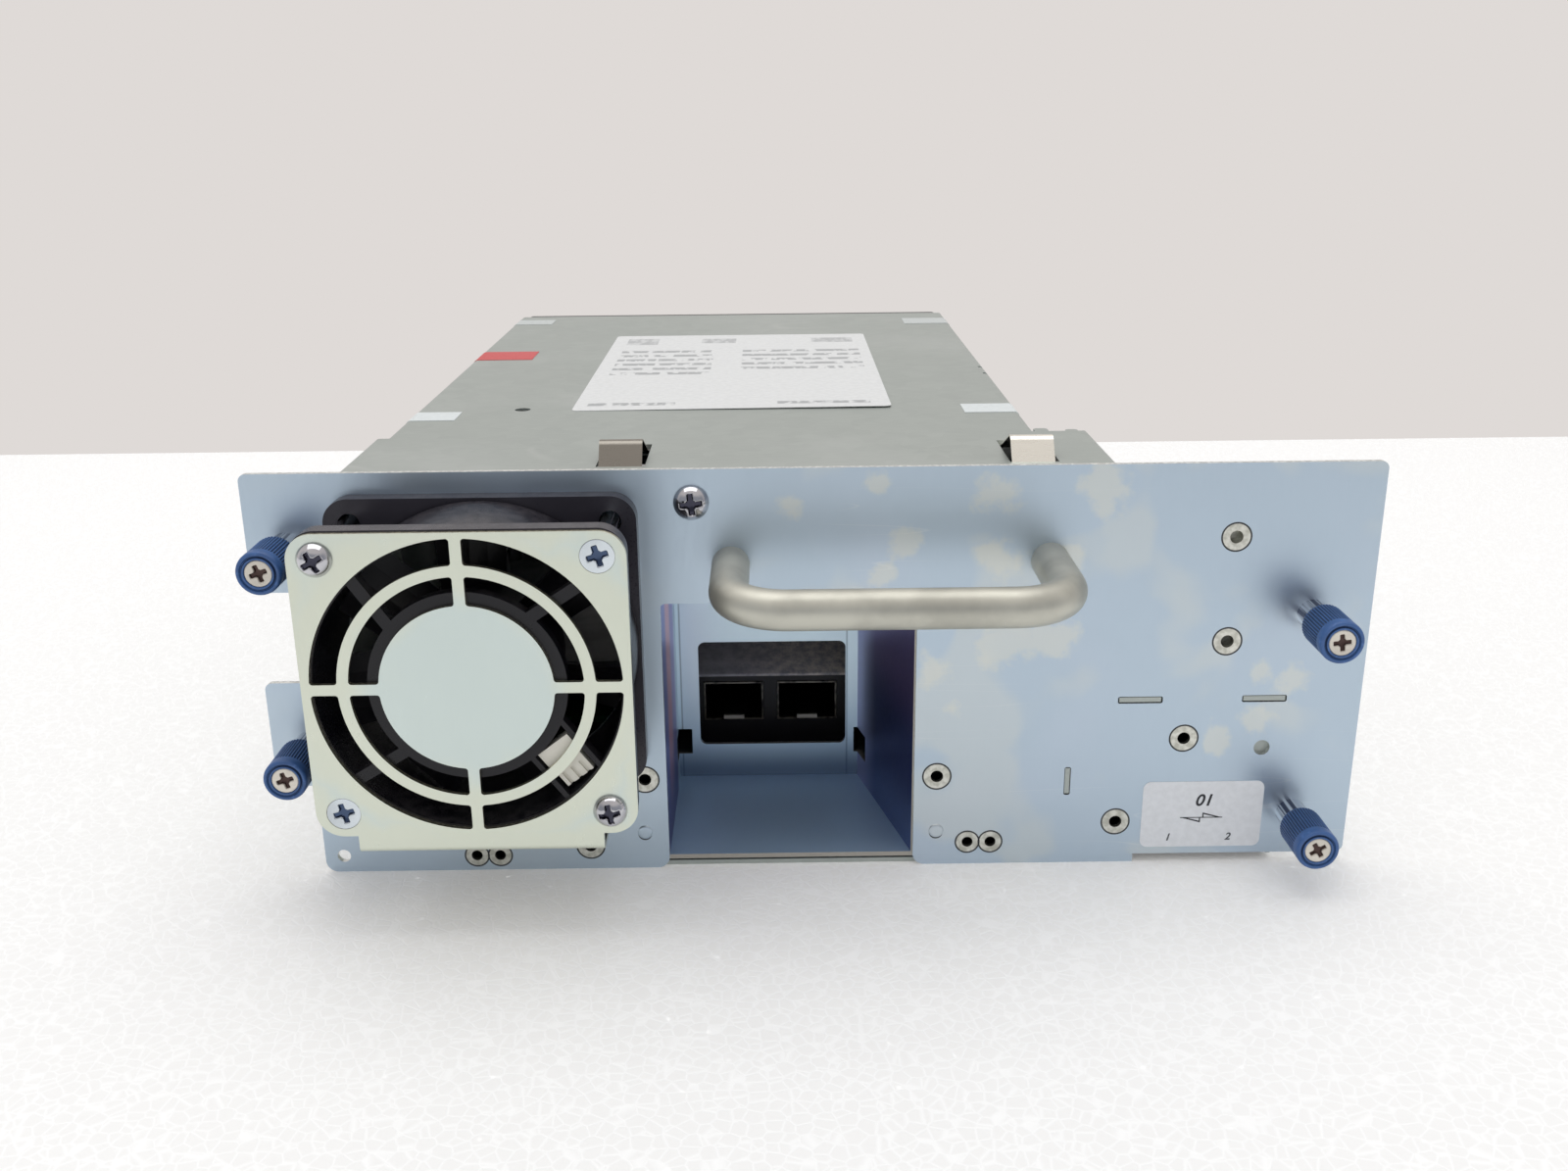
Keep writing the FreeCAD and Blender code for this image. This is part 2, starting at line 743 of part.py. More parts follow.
# ---- captive thumbscrews ----------------------------------------------------
def ferrule(x, z):
    r = ferrule_diameter / 2
    bore = captive_thread / 2 + 0.2
    neck = captive_shank / 2 + 0.15
    back = panel_sheet + 0.6
    profile = [(neck, -ferrule_reach), (r - 0.3, -ferrule_reach), (r, -ferrule_reach + 0.3), (r, 0),
               (r - 0.3, 0), (r - 0.3, back), (bore, back), (bore, -ferrule_reach + ferrule_lip),
               (neck, -ferrule_reach + ferrule_lip)]
    return turned(profile, V(x, 0, z), V(0, 1, 0))


def knob(x, z):
    """Ridged sleeve with a rounded end, a ring groove and a seat for the screw's head."""
    outer = knob_diameter / 2
    front = -knob_reach
    back = front + knob_length
    points = []
    for i in range(knob_ridges):
        for share, radius in ((0.0, outer), (0.4, outer), (0.6, outer - knob_ridge_depth),
                              (0.8, outer - knob_ridge_depth)):
            a = 2 * math.pi * (i + share) / knob_ridges
            points.append((x + radius * math.cos(a), z + radius * math.sin(a)))
    ridged = plate("xz", points, front + 0.7, back - 0.4)
    plain = outer - knob_ridge_depth
    bore = outer - knob_wall
    head = captive_head / 2 + press_gap
    shank = captive_shank / 2 + press_gap
    seat = front + captive_head_height
    inside = front + knob_end_wall
    profile = [(head, front), (plain - 0.9, front), (plain - 0.9, front + 0.45),
               (plain - 0.55, front + 0.45),
               (plain - 0.55, front), (plain - 0.25, front), (plain, front + 0.35), (plain, back),
               (bore, back), (bore, inside), (shank, inside), (shank, seat), (head, seat)]
    core = turned(profile, V(x, 0, z), V(0, 1, 0))
    sleeve = ridged.cut(rod_y(plain - 0.05, x, z, front, back))
    return core.fuse(sleeve)


def captive_screw(x, z):
    front = -knob_reach
    head = captive_head / 2
    tip = captive_tip
    thread_start = tip - captive_thread_length
    profile = [(0, front + 0.15), (head - 0.15, front + 0.15), (head, front + 0.3),
               (head, front + captive_head_height), (captive_shank / 2, front + captive_head_height),
               (captive_shank / 2, thread_start), (captive_thread / 2, thread_start),
               (captive_thread / 2, tip - 0.4), (captive_thread / 2 - 0.4, tip), (0, tip)]
    screw = turned(profile, V(x, 0, z), V(0, 1, 0))
    return screw.cut(cross_recess(x, front, z, captive_head * 0.6, 1.2))


def knob_spring(x, z):
    """Return spring between the ferrule's lip and the knob's end wall."""
    low = -knob_reach + knob_end_wall
    high = -ferrule_reach
    coil = captive_shank / 2 + 0.95
    rise = high - low - spring_wire - 0.1
    helix = Part.makeHelix(rise / spring_turns, rise, coil)
    half = spring_wire / 2
    section = Part.makePolygon([V(coil - half, 0, -half), V(coil + half, 0, -half), V(coil + half, 0, half),
                                V(coil - half, 0, half), V(coil - half, 0, -half)])
    wire = Part.Wire(helix.Edges).makePipeShell([section], True, True)
    wire.rotate(V(0, 0, 0), V(1, 0, 0), -90)
    wire.translate(V(x, low + half + 0.05, z))
    return wire


# ---- covers -----------------------------------------------------------------
def tee(inset, start, stop, right_box):
    """Plan of the module: a wide box behind the panel, then the narrower drive."""
    left_box = rear_box_left + inset
    left = drive_left + inset
    right = drive_right - inset
    step = rear_box_depth - inset
    return [(left_box, start), (right_box, start), (right_box, step), (right, step), (right, stop),
            (left, stop), (left, step), (left_box, step)]


def top_cover():
    start = panel_sheet
    stop = module_end - bezel_depth
    outer = plate("xy", tee(0, start, stop, rear_box_right), cover_skirt_foot, cover_top)
    top_edges = [e for e in outer.Edges
                 if all(abs(v.Z - cover_top) < 1e-6 for v in e.Vertexes)
                 and not all(abs(v.Y - start) < 1e-6 for v in e.Vertexes)
                 and not all(abs(v.Y - stop) < 1e-6 for v in e.Vertexes)]
    outer = outer.makeFillet(cover_bend, top_edges)
    hollow = plate("xy", tee(cover_sheet, start - 1, stop + 1, rear_box_right - cover_sheet),
                   cover_skirt_foot - 1, cover_top - cover_sheet)
    shelf_top = shelf_z + bracket_sheet / 2
    above_shelf = box(drive_right - cover_sheet, rear_box_right + 1, start - 1, rear_box_depth + 1,
                      cover_skirt_foot - 1, shelf_top)
    tongues = []
    for x0, width, reach in ((51.2, 3.2, 2.6), (58.2, 2.8, 1.3)):
        tongue = [(x0, rear_box_depth - 3), (x0 + width, rear_box_depth - 3),
                  (x0 + width, rear_box_depth + reach, 1.0), (x0, rear_box_depth + reach, 1.0)]
        tongues.append(plate("xy", tongue, cover_top - cover_sheet, cover_top - 0.15))
    screw_x, screw_z = panel_screw_at
    tab = box(screw_x - 7, screw_x + 7, start, start + cover_sheet, screw_z - 5, cover_top - cover_sheet)
    cover = outer.cut([hollow, above_shelf]).multiFuse(tongues + [tab])
    cuts = []
    for centre in clip_centres:
        half = clip_width / 2
        cuts.append(box(centre - half - 0.5, centre + half + clip_slot_side, clip_front - 0.6,
                        clip_front + clip_length + 0.6, cover_top - 2, cover_top + 1))
    cuts.append(rod_z(cover_hole_radius, *cover_hole_at, cover_top - 3, cover_top + 1))
    cuts.append(rod_y(1.5 + press_gap, screw_x, screw_z, 0, 8))
    for y in edge_notch_at:
        cuts.append(box(drive_right - edge_notch, drive_right + 1, y, y + edge_notch,
                        cover_top - 3, cover_top + 1))
    for y in side_screw_y:
        for x in (drive_left, drive_right):
            cuts.append(rod_x(side_screw_shank / 2 + screw_gap, y, side_screw_z, x - 3, x + 3))
    return cover.cut(cuts)


def clip(centre):
    """Arched strip that stands out of the cover and hooks under the slot's two ends."""
    under = cover_top - cover_sheet
    top = cover_top + clip_rise
    start = clip_front
    stop = start + clip_length
    s = clip_sheet
    ridge = start + 4.5
    profile = [(start - clip_tail, under - s), (start + 0.2, under - s, 0.3), (ridge, top - s, 1.5),
               (stop - 0.5, under - s, 0.3), (stop + clip_tail, under - s), (stop + clip_tail, under),
               (stop - 0.4 - s, under, 0.3), (ridge, top, 2.0), (start, under, 0.3),
               (start - clip_tail, under)]
    half = clip_width / 2
    return plate("yz", profile, centre - half, centre + half)


def sled_tray():
    inset = cover_sheet + sheet_gap
    start = panel_sheet
    stop = module_end - bezel_depth
    plan = tee(inset, start, stop, bracket_right)
    inner = tee(inset + tray_sheet, start - 1, stop + 1, bracket_right - tray_sheet)
    tray = plate("xy", plan, 0, tray_wall_top)
    tray = tray.cut(plate("xy", inner, tray_sheet, tray_wall_top + 1))
    past = drive_right - inset - tray_sheet
    cuts = [box(past, bracket_right + 1, start - 1, rear_box_depth, tray_sheet, tray_wall_top + 1)]
    for y in side_screw_y:
        cuts.append(rod_x(side_screw_shank / 2 + screw_gap, y, side_screw_z, drive_left - 1,
                          drive_right + 1))
    cuts.append(box(raised_edge_from, bracket_right + 1, start - 1, tray_front_right, -1, tray_wall_top + 1))
    return tray.cut(cuts)


def side_screw(y, side):
    """Screw through cover and tray wall into the deck's rail; side is -1 left, 1 right."""
    face = drive_left if side < 0 else drive_right
    inset = cover_sheet + sheet_gap + tray_sheet + sheet_gap
    r = side_screw_head / 2
    rise = side_screw_rise
    shank = side_screw_shank / 2
    profile = [(0, -rise), (r * 0.65, -rise * 0.93), (r * 0.96, -rise * 0.53), (r, 0), (shank, 0),
               (shank, inset + 2), (0, inset + 2)]
    return turned(profile, V(face, y, side_screw_z), V(-side, 0, 0))


def slot_bezel():
    """Far-end frame round the cartridge slot, with a spigot that enters the covers."""
    start = module_end - bezel_depth
    left = drive_left + bezel_inset
    right = drive_right - bezel_inset
    body = plate("xz", rounded_rectangle(left, right, 0, cover_top - bezel_inset, bezel_corner), start,
                 module_end)
    grip = cover_sheet + sheet_gap + tray_sheet + sheet_gap
    spigot = box(drive_left + grip, drive_right - grip, start - 3, start, tray_sheet + sheet_gap,
                 cover_top - cover_sheet - sheet_gap)
    half = cartridge_width / 2 + slot_margin
    low = cartridge_floor - 2.8
    high = cartridge_floor + cartridge_height + slot_margin
    slot = box(drive_mid - half, drive_mid + half, start - 5, module_end + 1, low, high)
    spread = slot_lead_in
    lead_in = Part.makeLoft([
        outline("xz", [(drive_mid - half, low), (drive_mid + half, low), (drive_mid + half, high),
                       (drive_mid - half, high)], module_end - spread),
        outline("xz", [(drive_mid - half - spread, low - spread), (drive_mid + half + spread, low - spread),
                       (drive_mid + half + spread, high + spread),
                       (drive_mid - half - spread, high + spread)],
                module_end)], True, True)
    wall = 4.0
    hollow_low = box(left + wall, right - wall, start - 5, module_end - 3, wall, low - wall)
    hollow_high = box(left + wall, right - wall, start - 5, module_end - 3, high + wall,
                      cover_top - bezel_inset - wall)
    return body.fuse(spigot).cut([slot, lead_in, hollow_low, hollow_high])


# ---- port pocket and ports --------------------------------------------------
def port_pocket():
    s = pocket_sheet
    start = panel_sheet
    back = pocket_depth
    lean = pocket_slant * (back - start) / back
    corner = notch_right - pocket_slant
    front = corner + lean
    outer = [(notch_left - s, start), (front + s, start), (corner + s, back + s), (notch_left - s, back + s)]
    inner = [(notch_left, start - 1), (front + 0.25, start - 1), (corner, back), (notch_left, back)]
    pocket = plate("xy", outer, pocket_floor - s, notch_top + s)
    pocket = pocket.cut(plate("xy", inner, pocket_floor, notch_top))
    window = rounded_rectangle(window_left, window_left + window_width, window_foot,
                               window_foot + window_height, window_corner)
    slot_top = corner_slot_foot + corner_slot_height
    cuts = [plate("xz", window, back - 1, back + s + 1)]
    cuts.append(box(notch_left - s - 1, notch_left + 3.1, back - corner_slot_wrap, back + s + 1,
                    corner_slot_foot, slot_top))
    cuts.append(box(corner - 0.9, corner + s + 3, back - corner_slot_wrap, back + s + 1,
                    corner_slot_foot, slot_top))
    return pocket.cut(cuts)


def cage_centres():
    return (cage_left_x, cage_left_x + cage_pitch)


def port_cage(x):
    """Open-ended sheet cage with a latch tongue along the floor at its mouth."""
    half = cage_width / 2
    s = cage_sheet
    top = board_top + cage_height
    shell = box(x - half, x + half, port_face, port_face + cage_length, board_top, top)
    bore = box(x - half + s, x + half - s, port_face - 1, port_face + cage_length - s, board_top + s,
               top - s)
    tongue = plate("yz", [(port_face - 0.9, board_top + 0.6), (port_face + 9, board_top + s - 0.1),
                          (port_face + 9, board_top + s + 0.3), (port_face - 0.9, board_top + 1.5)],
                   x - latch_tab_width / 2, x + latch_tab_width / 2)
    return shell.cut(bore).fuse(tongue)


def port_bezel():
    """Moulded surround of the two cages, with a sloping top behind the window."""
    left = window_left - bezel_overlap
    right = window_left + window_width + bezel_overlap
    face = port_face + 0.4
    foot = tray_sheet
    side = [(face, foot), (face, port_bezel_top, 0.8), (face + port_bezel_slope,
                                                        port_bezel_top + port_bezel_rise),
            (face + port_bezel_length, port_bezel_top + port_bezel_rise), (face + port_bezel_length, foot)]
    body = plate("yz", side, left, right)
    cuts = []
    for x in cage_centres():
        half = cage_width / 2 + sheet_gap
        cuts.append(box(x - half, x + half, face - 1, face + port_bezel_length + 1, board_top - sheet_gap,
                        board_top + cage_height + sheet_gap))
    under = board_top - board_thickness - sheet_gap
    cuts.append(box(left - 1, right + 1, face + 2, face + port_bezel_length + 1, under,
                    board_top + sheet_gap))
    return body.cut(cuts)


# ---- boards -----------------------------------------------------------------
def board_edges():
    inset = cover_sheet + sheet_gap + tray_sheet + board_margin
    return drive_left + inset, drive_right - inset


def board_span():
    return port_face + 3.0, module_end - bezel_depth - 6


def standoff_places():
    left, right = board_edges()
    start, stop = board_span()
    middle = (start + stop) / 2
    return [(x, y) for x in (left + standoff_inset, right - standoff_inset)
            for y in (start + standoff_front, middle, stop - standoff_back)]


def main_board():
    """Circuit board with its chips soldered on."""
    start, stop = board_span()
    left, right = board_edges()
    slab = plate("xy", rounded_rectangle(left, right, start, stop, 2.0), board_top - board_thickness,
                 board_top)
    chips = []
    for places, height in ((chip_places, chip_height), (socket_places, socket_height)):
        for x, y, w, d in places:
            chips.append(box(x - w / 2, x + w / 2, y - d / 2, y + d / 2, board_top, board_top + height))
    holes = [rod_z(1.5, x, y, 0, 20) for x, y in standoff_places()]
    return slab.multiFuse(chips).cut(holes)


def standoff(x, y):
    """Snap-in pillar: a foot on the tray, a shoulder under the board and a barb above it."""
    foot = tray_sheet
    under = board_top - board_thickness
    profile = [(0, foot), (standoff_radius + 1, foot), (standoff_radius + 1, foot + 1),
               (standoff_radius, foot + 1),
               (standoff_radius, under), (1.35, under), (1.35, board_top), (2.0, board_top + 0.2),
               (0.8, board_top + 2.6), (0, board_top + 2.6)]
    return turned(profile, V(x, y, 0), V(0, 0, 1))


# ---- docking side -----------------------------------------------------------
def docking_bracket():
    s = bracket_sheet
    foot = tray_sheet
    left = web_x - s / 2
    top = shelf_z + s / 2
    start = panel_sheet
    shelf = box(left, bracket_right, start, bracket_depth, top - s, top)
    web = box(left, left + s, start, bracket_depth, foot, top)
    wall = box(bracket_right - s, bracket_right, start, bracket_depth, foot, top)
    back = box(left, bracket_right, bracket_depth - s, bracket_depth, foot, top)
    flange = box(bracket_right - flange_width, bracket_right, start, start + s, flange_foot, flange_top)
    tabs = [box(x0 + 0.3, x1 - 0.3, 0.15, start, top - s, top) for x0, x1 in shelf_slots]
    tabs.append(box(left, left + s, 0.15, start, web_slot[0] + 0.3, web_slot[1] - 0.3))
    middle = (left + bracket_right) / 2
    half = docking_width / 2 - 4
    window = box(middle - half, middle + half, bracket_depth - 2, bracket_depth + 1,
                 docking_z - docking_height / 2 + 1, docking_z + docking_height / 2 - 1)
    return joined([shelf, web, wall, back, flange] + tabs).cut(window)


def docking_middle():
    return (web_x - bracket_sheet / 2 + bracket_right) / 2


def docking_connector():
    middle = docking_middle()
    half = docking_width / 2
    low = docking_z - docking_height / 2
    high = docking_z + docking_height / 2
    body = plate("xz", rounded_rectangle(middle - half, middle + half, low, high, 1.5), bracket_depth,
                 bracket_depth + docking_length)
    neck = box(middle - half + 4.2, middle + half - 4.2, bracket_depth - 4, bracket_depth, low + 1.2,
               high - 1.2)
    socket = box(middle - half + 7, middle + half - 7, bracket_depth + 2, bracket_depth + docking_length + 1,
                 low + 3, high - 3)
    start = bracket_depth + docking_length
    pin = [(0, -1), (dock_pin_radius, -1), (dock_pin_radius, dock_pin_length), (0.8, dock_pin_length + 2.0),
           (0, dock_pin_length + 2.0)]
    pins = [turned(pin, V(middle + side * (half - 3.5), start, docking_z), V(0, 1, 0)) for side in (-1, 1)]
    return joined([body, neck] + pins).cut(socket)


# ---- deck -------------------------------------------------------------------
def deck_sides():
    inset = cover_sheet + sheet_gap + tray_sheet + sheet_gap
    return drive_left + inset, drive_right - inset


def motor_places():
    angle = math.radians(thread_bearing)
    spread = gear_module * (grab_teeth + pinion_teeth) / 2
    thread = (grab_pivot[0] + spread * math.cos(angle), grab_pivot[1] + spread * math.sin(angle))
    loader = (loader_x, loader_y - gear_module * (loader_teeth + pinion_teeth) / 2)
    return {"loader": loader, "thread": thread}


def deck_casting():
    left, right = deck_sides()
    slab = box(left, right, deck_start, deck_end, deck_foot, deck_top)
    rails = [box(x0, x0 + deck_rail_width, deck_start, deck_end, deck_rail_foot, deck_foot)
             for x0 in (left, right - deck_rail_width)]
    rims = [box(x0, x0 + 1.2, deck_start, deck_end, deck_top, deck_top + deck_rim)
            for x0 in (left, right - 1.2)]
    casting = joined([slab] + rails + rims)
    bezel_end = port_face + 0.4 + port_bezel_length
    cuts = [box(window_left - bezel_overlap - 1, window_left + window_width + bezel_overlap + 1,
                deck_start - 1, bezel_end + 1, deck_foot - 1, deck_top + 5)]
    cuts += [rod_z(reel_shaft / 2 + running_gap, drive_mid, y, deck_foot - 1, deck_top + 1)
             for y in (supply_y, takeup_y)]
    for x0, x1, y0, y1 in ((-60, -48, 150, 170), (4, 16, 150, 170), (-60, -48, 214, 228), (4, 16, 214, 228),
                           (-50, -38, 125, 142), (-6, 6, 125, 142)):
        cuts.append(plate("xy", rounded_rectangle(x0, x1, y0, y1, 3.0), deck_foot - 1, deck_top + 1))
    cuts += [rod_z(post_radius - 1 + press_gap, x, y, deck_foot, deck_top + 1) for x, y in roller_places]
    cuts += [rod_z(head_post / 2 + press_gap, head_x, y, deck_foot,
                   deck_top + 1) for y in head_post_places()]
    cuts.append(rod_z(grab_pin / 2 + press_gap, *grab_pivot, deck_foot, deck_top + 1))
    cuts.append(rod_z(2.0 + press_gap, loader_x, loader_y, deck_foot, deck_top + 1))
    for y in side_screw_y:
        cuts.append(rod_x(side_screw_shank / 2 + press_gap, y, side_screw_z, left - 1,
                          left + deck_rail_width - 0.8))
        cuts.append(rod_x(side_screw_shank / 2 + press_gap, y, side_screw_z, right - deck_rail_width + 0.8,
                          right + 1))
    return casting.cut(cuts)


def motor_base(y, radius):
    base = rod_z(radius, drive_mid, y, deck_top, deck_top + motor_base_height)
    pads = [box(drive_mid - 4, drive_mid + 4, y, y + radius + 4, deck_top, deck_top + 1.6)]
    pads += [pads[0].rotated(V(drive_mid, y, 0), V(0, 0, 1), turn) for turn in (120, 240)]
    return joined([base] + pads).cut(rod_z(reel_shaft / 2 + running_gap, drive_mid, y, deck_top - 1,
                                           deck_top + 9))


# ---- reels ------------------------------------------------------------------
def supply_chuck():
    """Spindle that carries the cartridge's hub: a disc with a ring of dog teeth."""
    r = chuck_radius
    top = chuck_body_top
    profile = [(0, deck_foot + 0.5), (reel_shaft / 2, deck_foot + 0.5), (reel_shaft / 2, chuck_foot),
               (r, chuck_foot), (r, top - 1.5), (r - 0.8, top), (r - 6, top), (r - 6, top - 2),
               (3.2, top - 2),
               (3.2, top + 1.2), (2.2, top + 2.4), (0, top + 2.4)]
    disc = turned(profile, V(drive_mid, supply_y, 0), V(0, 0, 1))
    ring = r - 3.4
    teeth = []
    for i in range(chuck_teeth):
        tooth = Part.makeLoft([
            outline("xy", rounded_rectangle(ring - 2, ring + 2, -1.6, 1.6, 0), top - 0.2),
            outline("xy", rounded_rectangle(ring - 1.6, ring + 1.6, -0.5, 0.5, 0), top + chuck_tooth)],
            True, True)
        tooth.translate(V(drive_mid, supply_y, 0))
        teeth.append(tooth.rotated(V(drive_mid, supply_y, 0), V(0, 0, 1), 360 * i / chuck_teeth))
    return joined([disc] + teeth)


def takeup_reel():
    low = reel_foot
    high = low + reel_flange + tape_space
    hub = reel_hub_radius
    profile = [(0, deck_foot + 0.5), (reel_shaft / 2, deck_foot + 0.5), (reel_shaft / 2, chuck_foot),
               (reel_boss_radius, chuck_foot), (reel_boss_radius, low), (reel_radius, low),
               (reel_radius, low + reel_flange), (hub, low + reel_flange), (hub, high), (reel_radius, high),
               (reel_radius, high + reel_flange), (hub - 3, high + reel_flange), (hub - 3, high - 4),
               (0, high - 4)]
    reel = turned(profile, V(drive_mid, takeup_y, 0), V(0, 0, 1))
    cuts = []
    for i in range(3):
        hole = rod_z(6.0, drive_mid + (hub + reel_radius) / 2, takeup_y, low - 1, high + 3)
        cuts.append(hole.rotated(V(drive_mid, takeup_y, 0), V(0, 0, 1), 120 * i + 20))
    mouth = box(drive_mid - hub - 1, drive_mid - hub + 6, takeup_y - 4, takeup_y + 4, low + reel_flange,
                high + 3)
    return reel.cut(cuts + [mouth])


# ---- tape guides and head ---------------------------------------------------
def guide_roller(x, y):
    low = roller_foot
    high = low + roller_height
    r = roller_radius
    rim = r + roller_rim
    bore = roller_pin / 2 + running_gap
    profile = [(bore, low), (rim, low), (rim, low + roller_rim_height), (r, low + roller_rim_height),
               (r, high - roller_rim_height), (rim, high - roller_rim_height), (rim, high), (bore, high)]
    return turned(profile, V(x, y, 0), V(0, 0, 1))


def roller_post(x, y):
    """Stepped post: a foot pressed in the deck, a shoulder, a thin pin and a retaining cap."""
    high = roller_foot + roller_height + seat_gap
    profile = [(0, deck_foot + 0.5), (post_radius - 1, deck_foot + 0.5), (post_radius - 1, deck_top),
               (post_radius, deck_top), (post_radius, roller_foot - seat_gap),
               (roller_pin / 2, roller_foot - seat_gap),
               (roller_pin / 2, high), (cap_radius, high), (cap_radius, high + cap_height),
               (0, high + cap_height)]
    return turned(profile, V(x, y, 0), V(0, 0, 1))


def head_post_places():
    return (head_y - head_post_spacing / 2, head_y + head_post_spacing / 2)


def head_carriage():
    w, d, h = head_block
    low = head_block_foot
    side = head_x - w / 2 + 1.5
    block = plate("xy", rounded_rectangle(side, side + w, head_y - d / 2, head_y + d / 2, 1.0), low, low + h)
    cuts = [rod_z(head_post / 2 + running_gap, head_x, y, low - 1, low + h + 1) for y in head_post_places()]
    cuts.append(rod_z(lead_screw / 2 + seat_gap, head_x, head_y, low - 1, low + h + 1))
    cuts.append(box(side + w - 2.5, side + w + 1, head_y - 3, head_y + 3, low - 1, low + h + 1))
    return block.cut(cuts)


def head_face():
    return head_x - head_block[0] / 2 + 1.5 + head_block[0]


def tape_head():
    """Read and write head: a bar with a gently crowned face towards the tape."""
    w, d, h = head_nose
    low = head_block_foot + (head_block[2] - h) / 2
    x = head_face()
    crown = [(x, head_y - d / 2), (x + w * 0.5, head_y - d / 2), (x + w, head_y - d / 4, 2.0),
             (x + w, head_y + d / 4, 2.0), (x + w * 0.5, head_y + d / 2), (x, head_y + d / 2)]
    return plate("xy", crown, low, low + h)


def head_guide(y):
    return rod_z(head_post / 2, head_x, y, deck_foot + 0.5, bridge_z + bridge_sheet)


def head_bridge():
    left, right = deck_sides()
    half = head_post_spacing / 2 + 3.5
    x0 = left + 0.4
    x1 = head_x + 3.4
    top = bridge_z + bridge_sheet
    bar = plate("xy", rounded_rectangle(x0, x1, head_y - half, head_y + half, 1.5), bridge_z, top)
    holes = [rod_z(head_post / 2 + press_gap, head_x, y, bridge_z - 1, top + 1) for y in head_post_places()]
    holes.append(rod_z(lead_journal / 2 + running_gap, head_x, head_y, bridge_z - 1, top + 1))
    return bar.cut(holes)


def actuator_motor():
    can = rod_z(actuator_radius, head_x, head_y, deck_top, deck_top + actuator_height)
    return can.cut(rod_z(lead_journal / 2 + running_gap, head_x, head_y, deck_top + 2, deck_top + 9))


def lead_screw_solid():
    low = deck_top + actuator_height
    profile = [(0, low - 4), (lead_journal / 2, low - 4), (lead_journal / 2, low + seat_gap),
               (lead_screw / 2, low + seat_gap), (lead_screw / 2, bridge_z - seat_gap),
               (lead_journal / 2, bridge_z - seat_gap), (lead_journal / 2, bridge_z + bridge_sheet),
               (0, bridge_z + bridge_sheet)]
    return turned(profile, V(head_x, head_y, 0), V(0, 0, 1))


# ---- cartridge carriage and its drive ---------------------------------------
def carriage_sides():
    half = cartridge_width / 2 + carriage_side_gap
    return drive_mid - half, drive_mid + half


def rack_line():
    return loader_x - gear_module * loader_teeth / 2


def rack_outline():
    """Rack whose teeth point to +X; a gap lies level with the loader gear's centre."""
    pitch = math.pi * gear_module
    line = rack_line()
    tip = line + addendum * gear_module
    root = line - dedendum * gear_module
    lean = math.tan(math.radians(pressure_angle))
    play = tooth_play / 2
    half = pitch / 4 - play / 2
    count = int(rack_length / pitch)
    start = loader_y - pitch * 1.5
    left, right = carriage_sides()
    points = [(right, start - pitch / 2 + 0.2)]
    points.append((root, start - pitch / 2 + 0.2))
    for i in range(count):
        y = start + pitch * i
        points += [(root, y - half - lean * (line - root)), (tip, y - half + lean * (tip - line)),
                   (tip, y + half - lean * (tip - line)), (root, y + half + lean * (line - root))]
    points.append((root, start + pitch * (count - 0.5)))
    points.append((right, start + pitch * (count - 0.5)))
    return points


def cartridge_carriage():
    """Shallow tray with a window over the chuck; its right wall carries the loader's rack."""
    left, right = carriage_sides()
    front = carriage_front
    back = front + carriage_length
    low = carriage_floor
    top = carriage_wall_top
    rack = plate("xy", rack_outline(), loader_gear_foot, loader_gear_foot + gear_width)
    rack_front = rack.BoundBox.YMin
    outer_right = rack_line() - dedendum * gear_module
    floor = plate("xy", rounded_rectangle(left - carriage_wall, outer_right, front, back, 1.0), low,
                  low + carriage_sheet)
    half = carriage_window / 2
    window = plate("xy", rounded_rectangle(drive_mid - half, drive_mid + half, front + 9, back - 9, 6.0),
                   low - 1,
                   low + 3)
    wall_left = box(left - carriage_wall, left, front, back, low, top)
    wall_right = box(right, outer_right, front, back, low, top)
    reach = box(right, outer_right, rack_front, front + 1, loader_gear_foot - 2,
                loader_gear_foot + gear_width + 2)
    lips = [box(left, left + 4, front, back, top - 1, top), box(right - 4, right, front, back, top - 1, top)]
    return joined([floor.cut(window), wall_left, wall_right, reach, rack] + lips)


def carriage_rails():
    left, right = carriage_sides()
    low = deck_top
    back = carriage_front + carriage_length - 2
    top = carriage_floor - seat_gap
    outer_left = left - carriage_wall - seat_gap
    outer_right = rack_line() - dedendum * gear_module + seat_gap
    front = carriage_front - carriage_travel
    rails = []
    for x0, x1, s0, s1 in ((outer_left, left + runner_width, outer_left - side_rail, outer_left),
                           (right - runner_width, outer_right, outer_right, outer_right + side_rail)):
        runner = box(x0, x1, front, back, low, top)
        side = box(s0, s1, carriage_front + 22, back, low, loader_gear_foot - 2)
        rails.append(joined([runner, side]))
    return rails


def loader_gear():
    z0 = loader_gear_foot
    wheel = gear(loader_teeth, 180, loader_x, loader_y, z0, z0 + gear_width)
    hub = rod_z(4.0, loader_x, loader_y, z0 - 3, z0 + gear_width)
    return joined([wheel, hub]).cut(rod_z(2.0 + running_gap, loader_x, loader_y, z0 - 5,
                                          z0 + gear_width + 1))


def loader_post():
    z0 = loader_gear_foot
    profile = [(0, deck_foot + 0.5), (2.0, deck_foot + 0.5), (2.0, deck_top), (4.0, deck_top),
               (4.0, z0 - 3 - seat_gap), (2.0, z0 - 3 - seat_gap), (2.0, z0 + gear_width + seat_gap),
               (3.0, z0 + gear_width + seat_gap), (3.0, z0 + gear_width + seat_gap + 0.8),
               (0, z0 + gear_width + seat_gap + 0.8)]
    return turned(profile, V(loader_x, loader_y, 0), V(0, 0, 1))


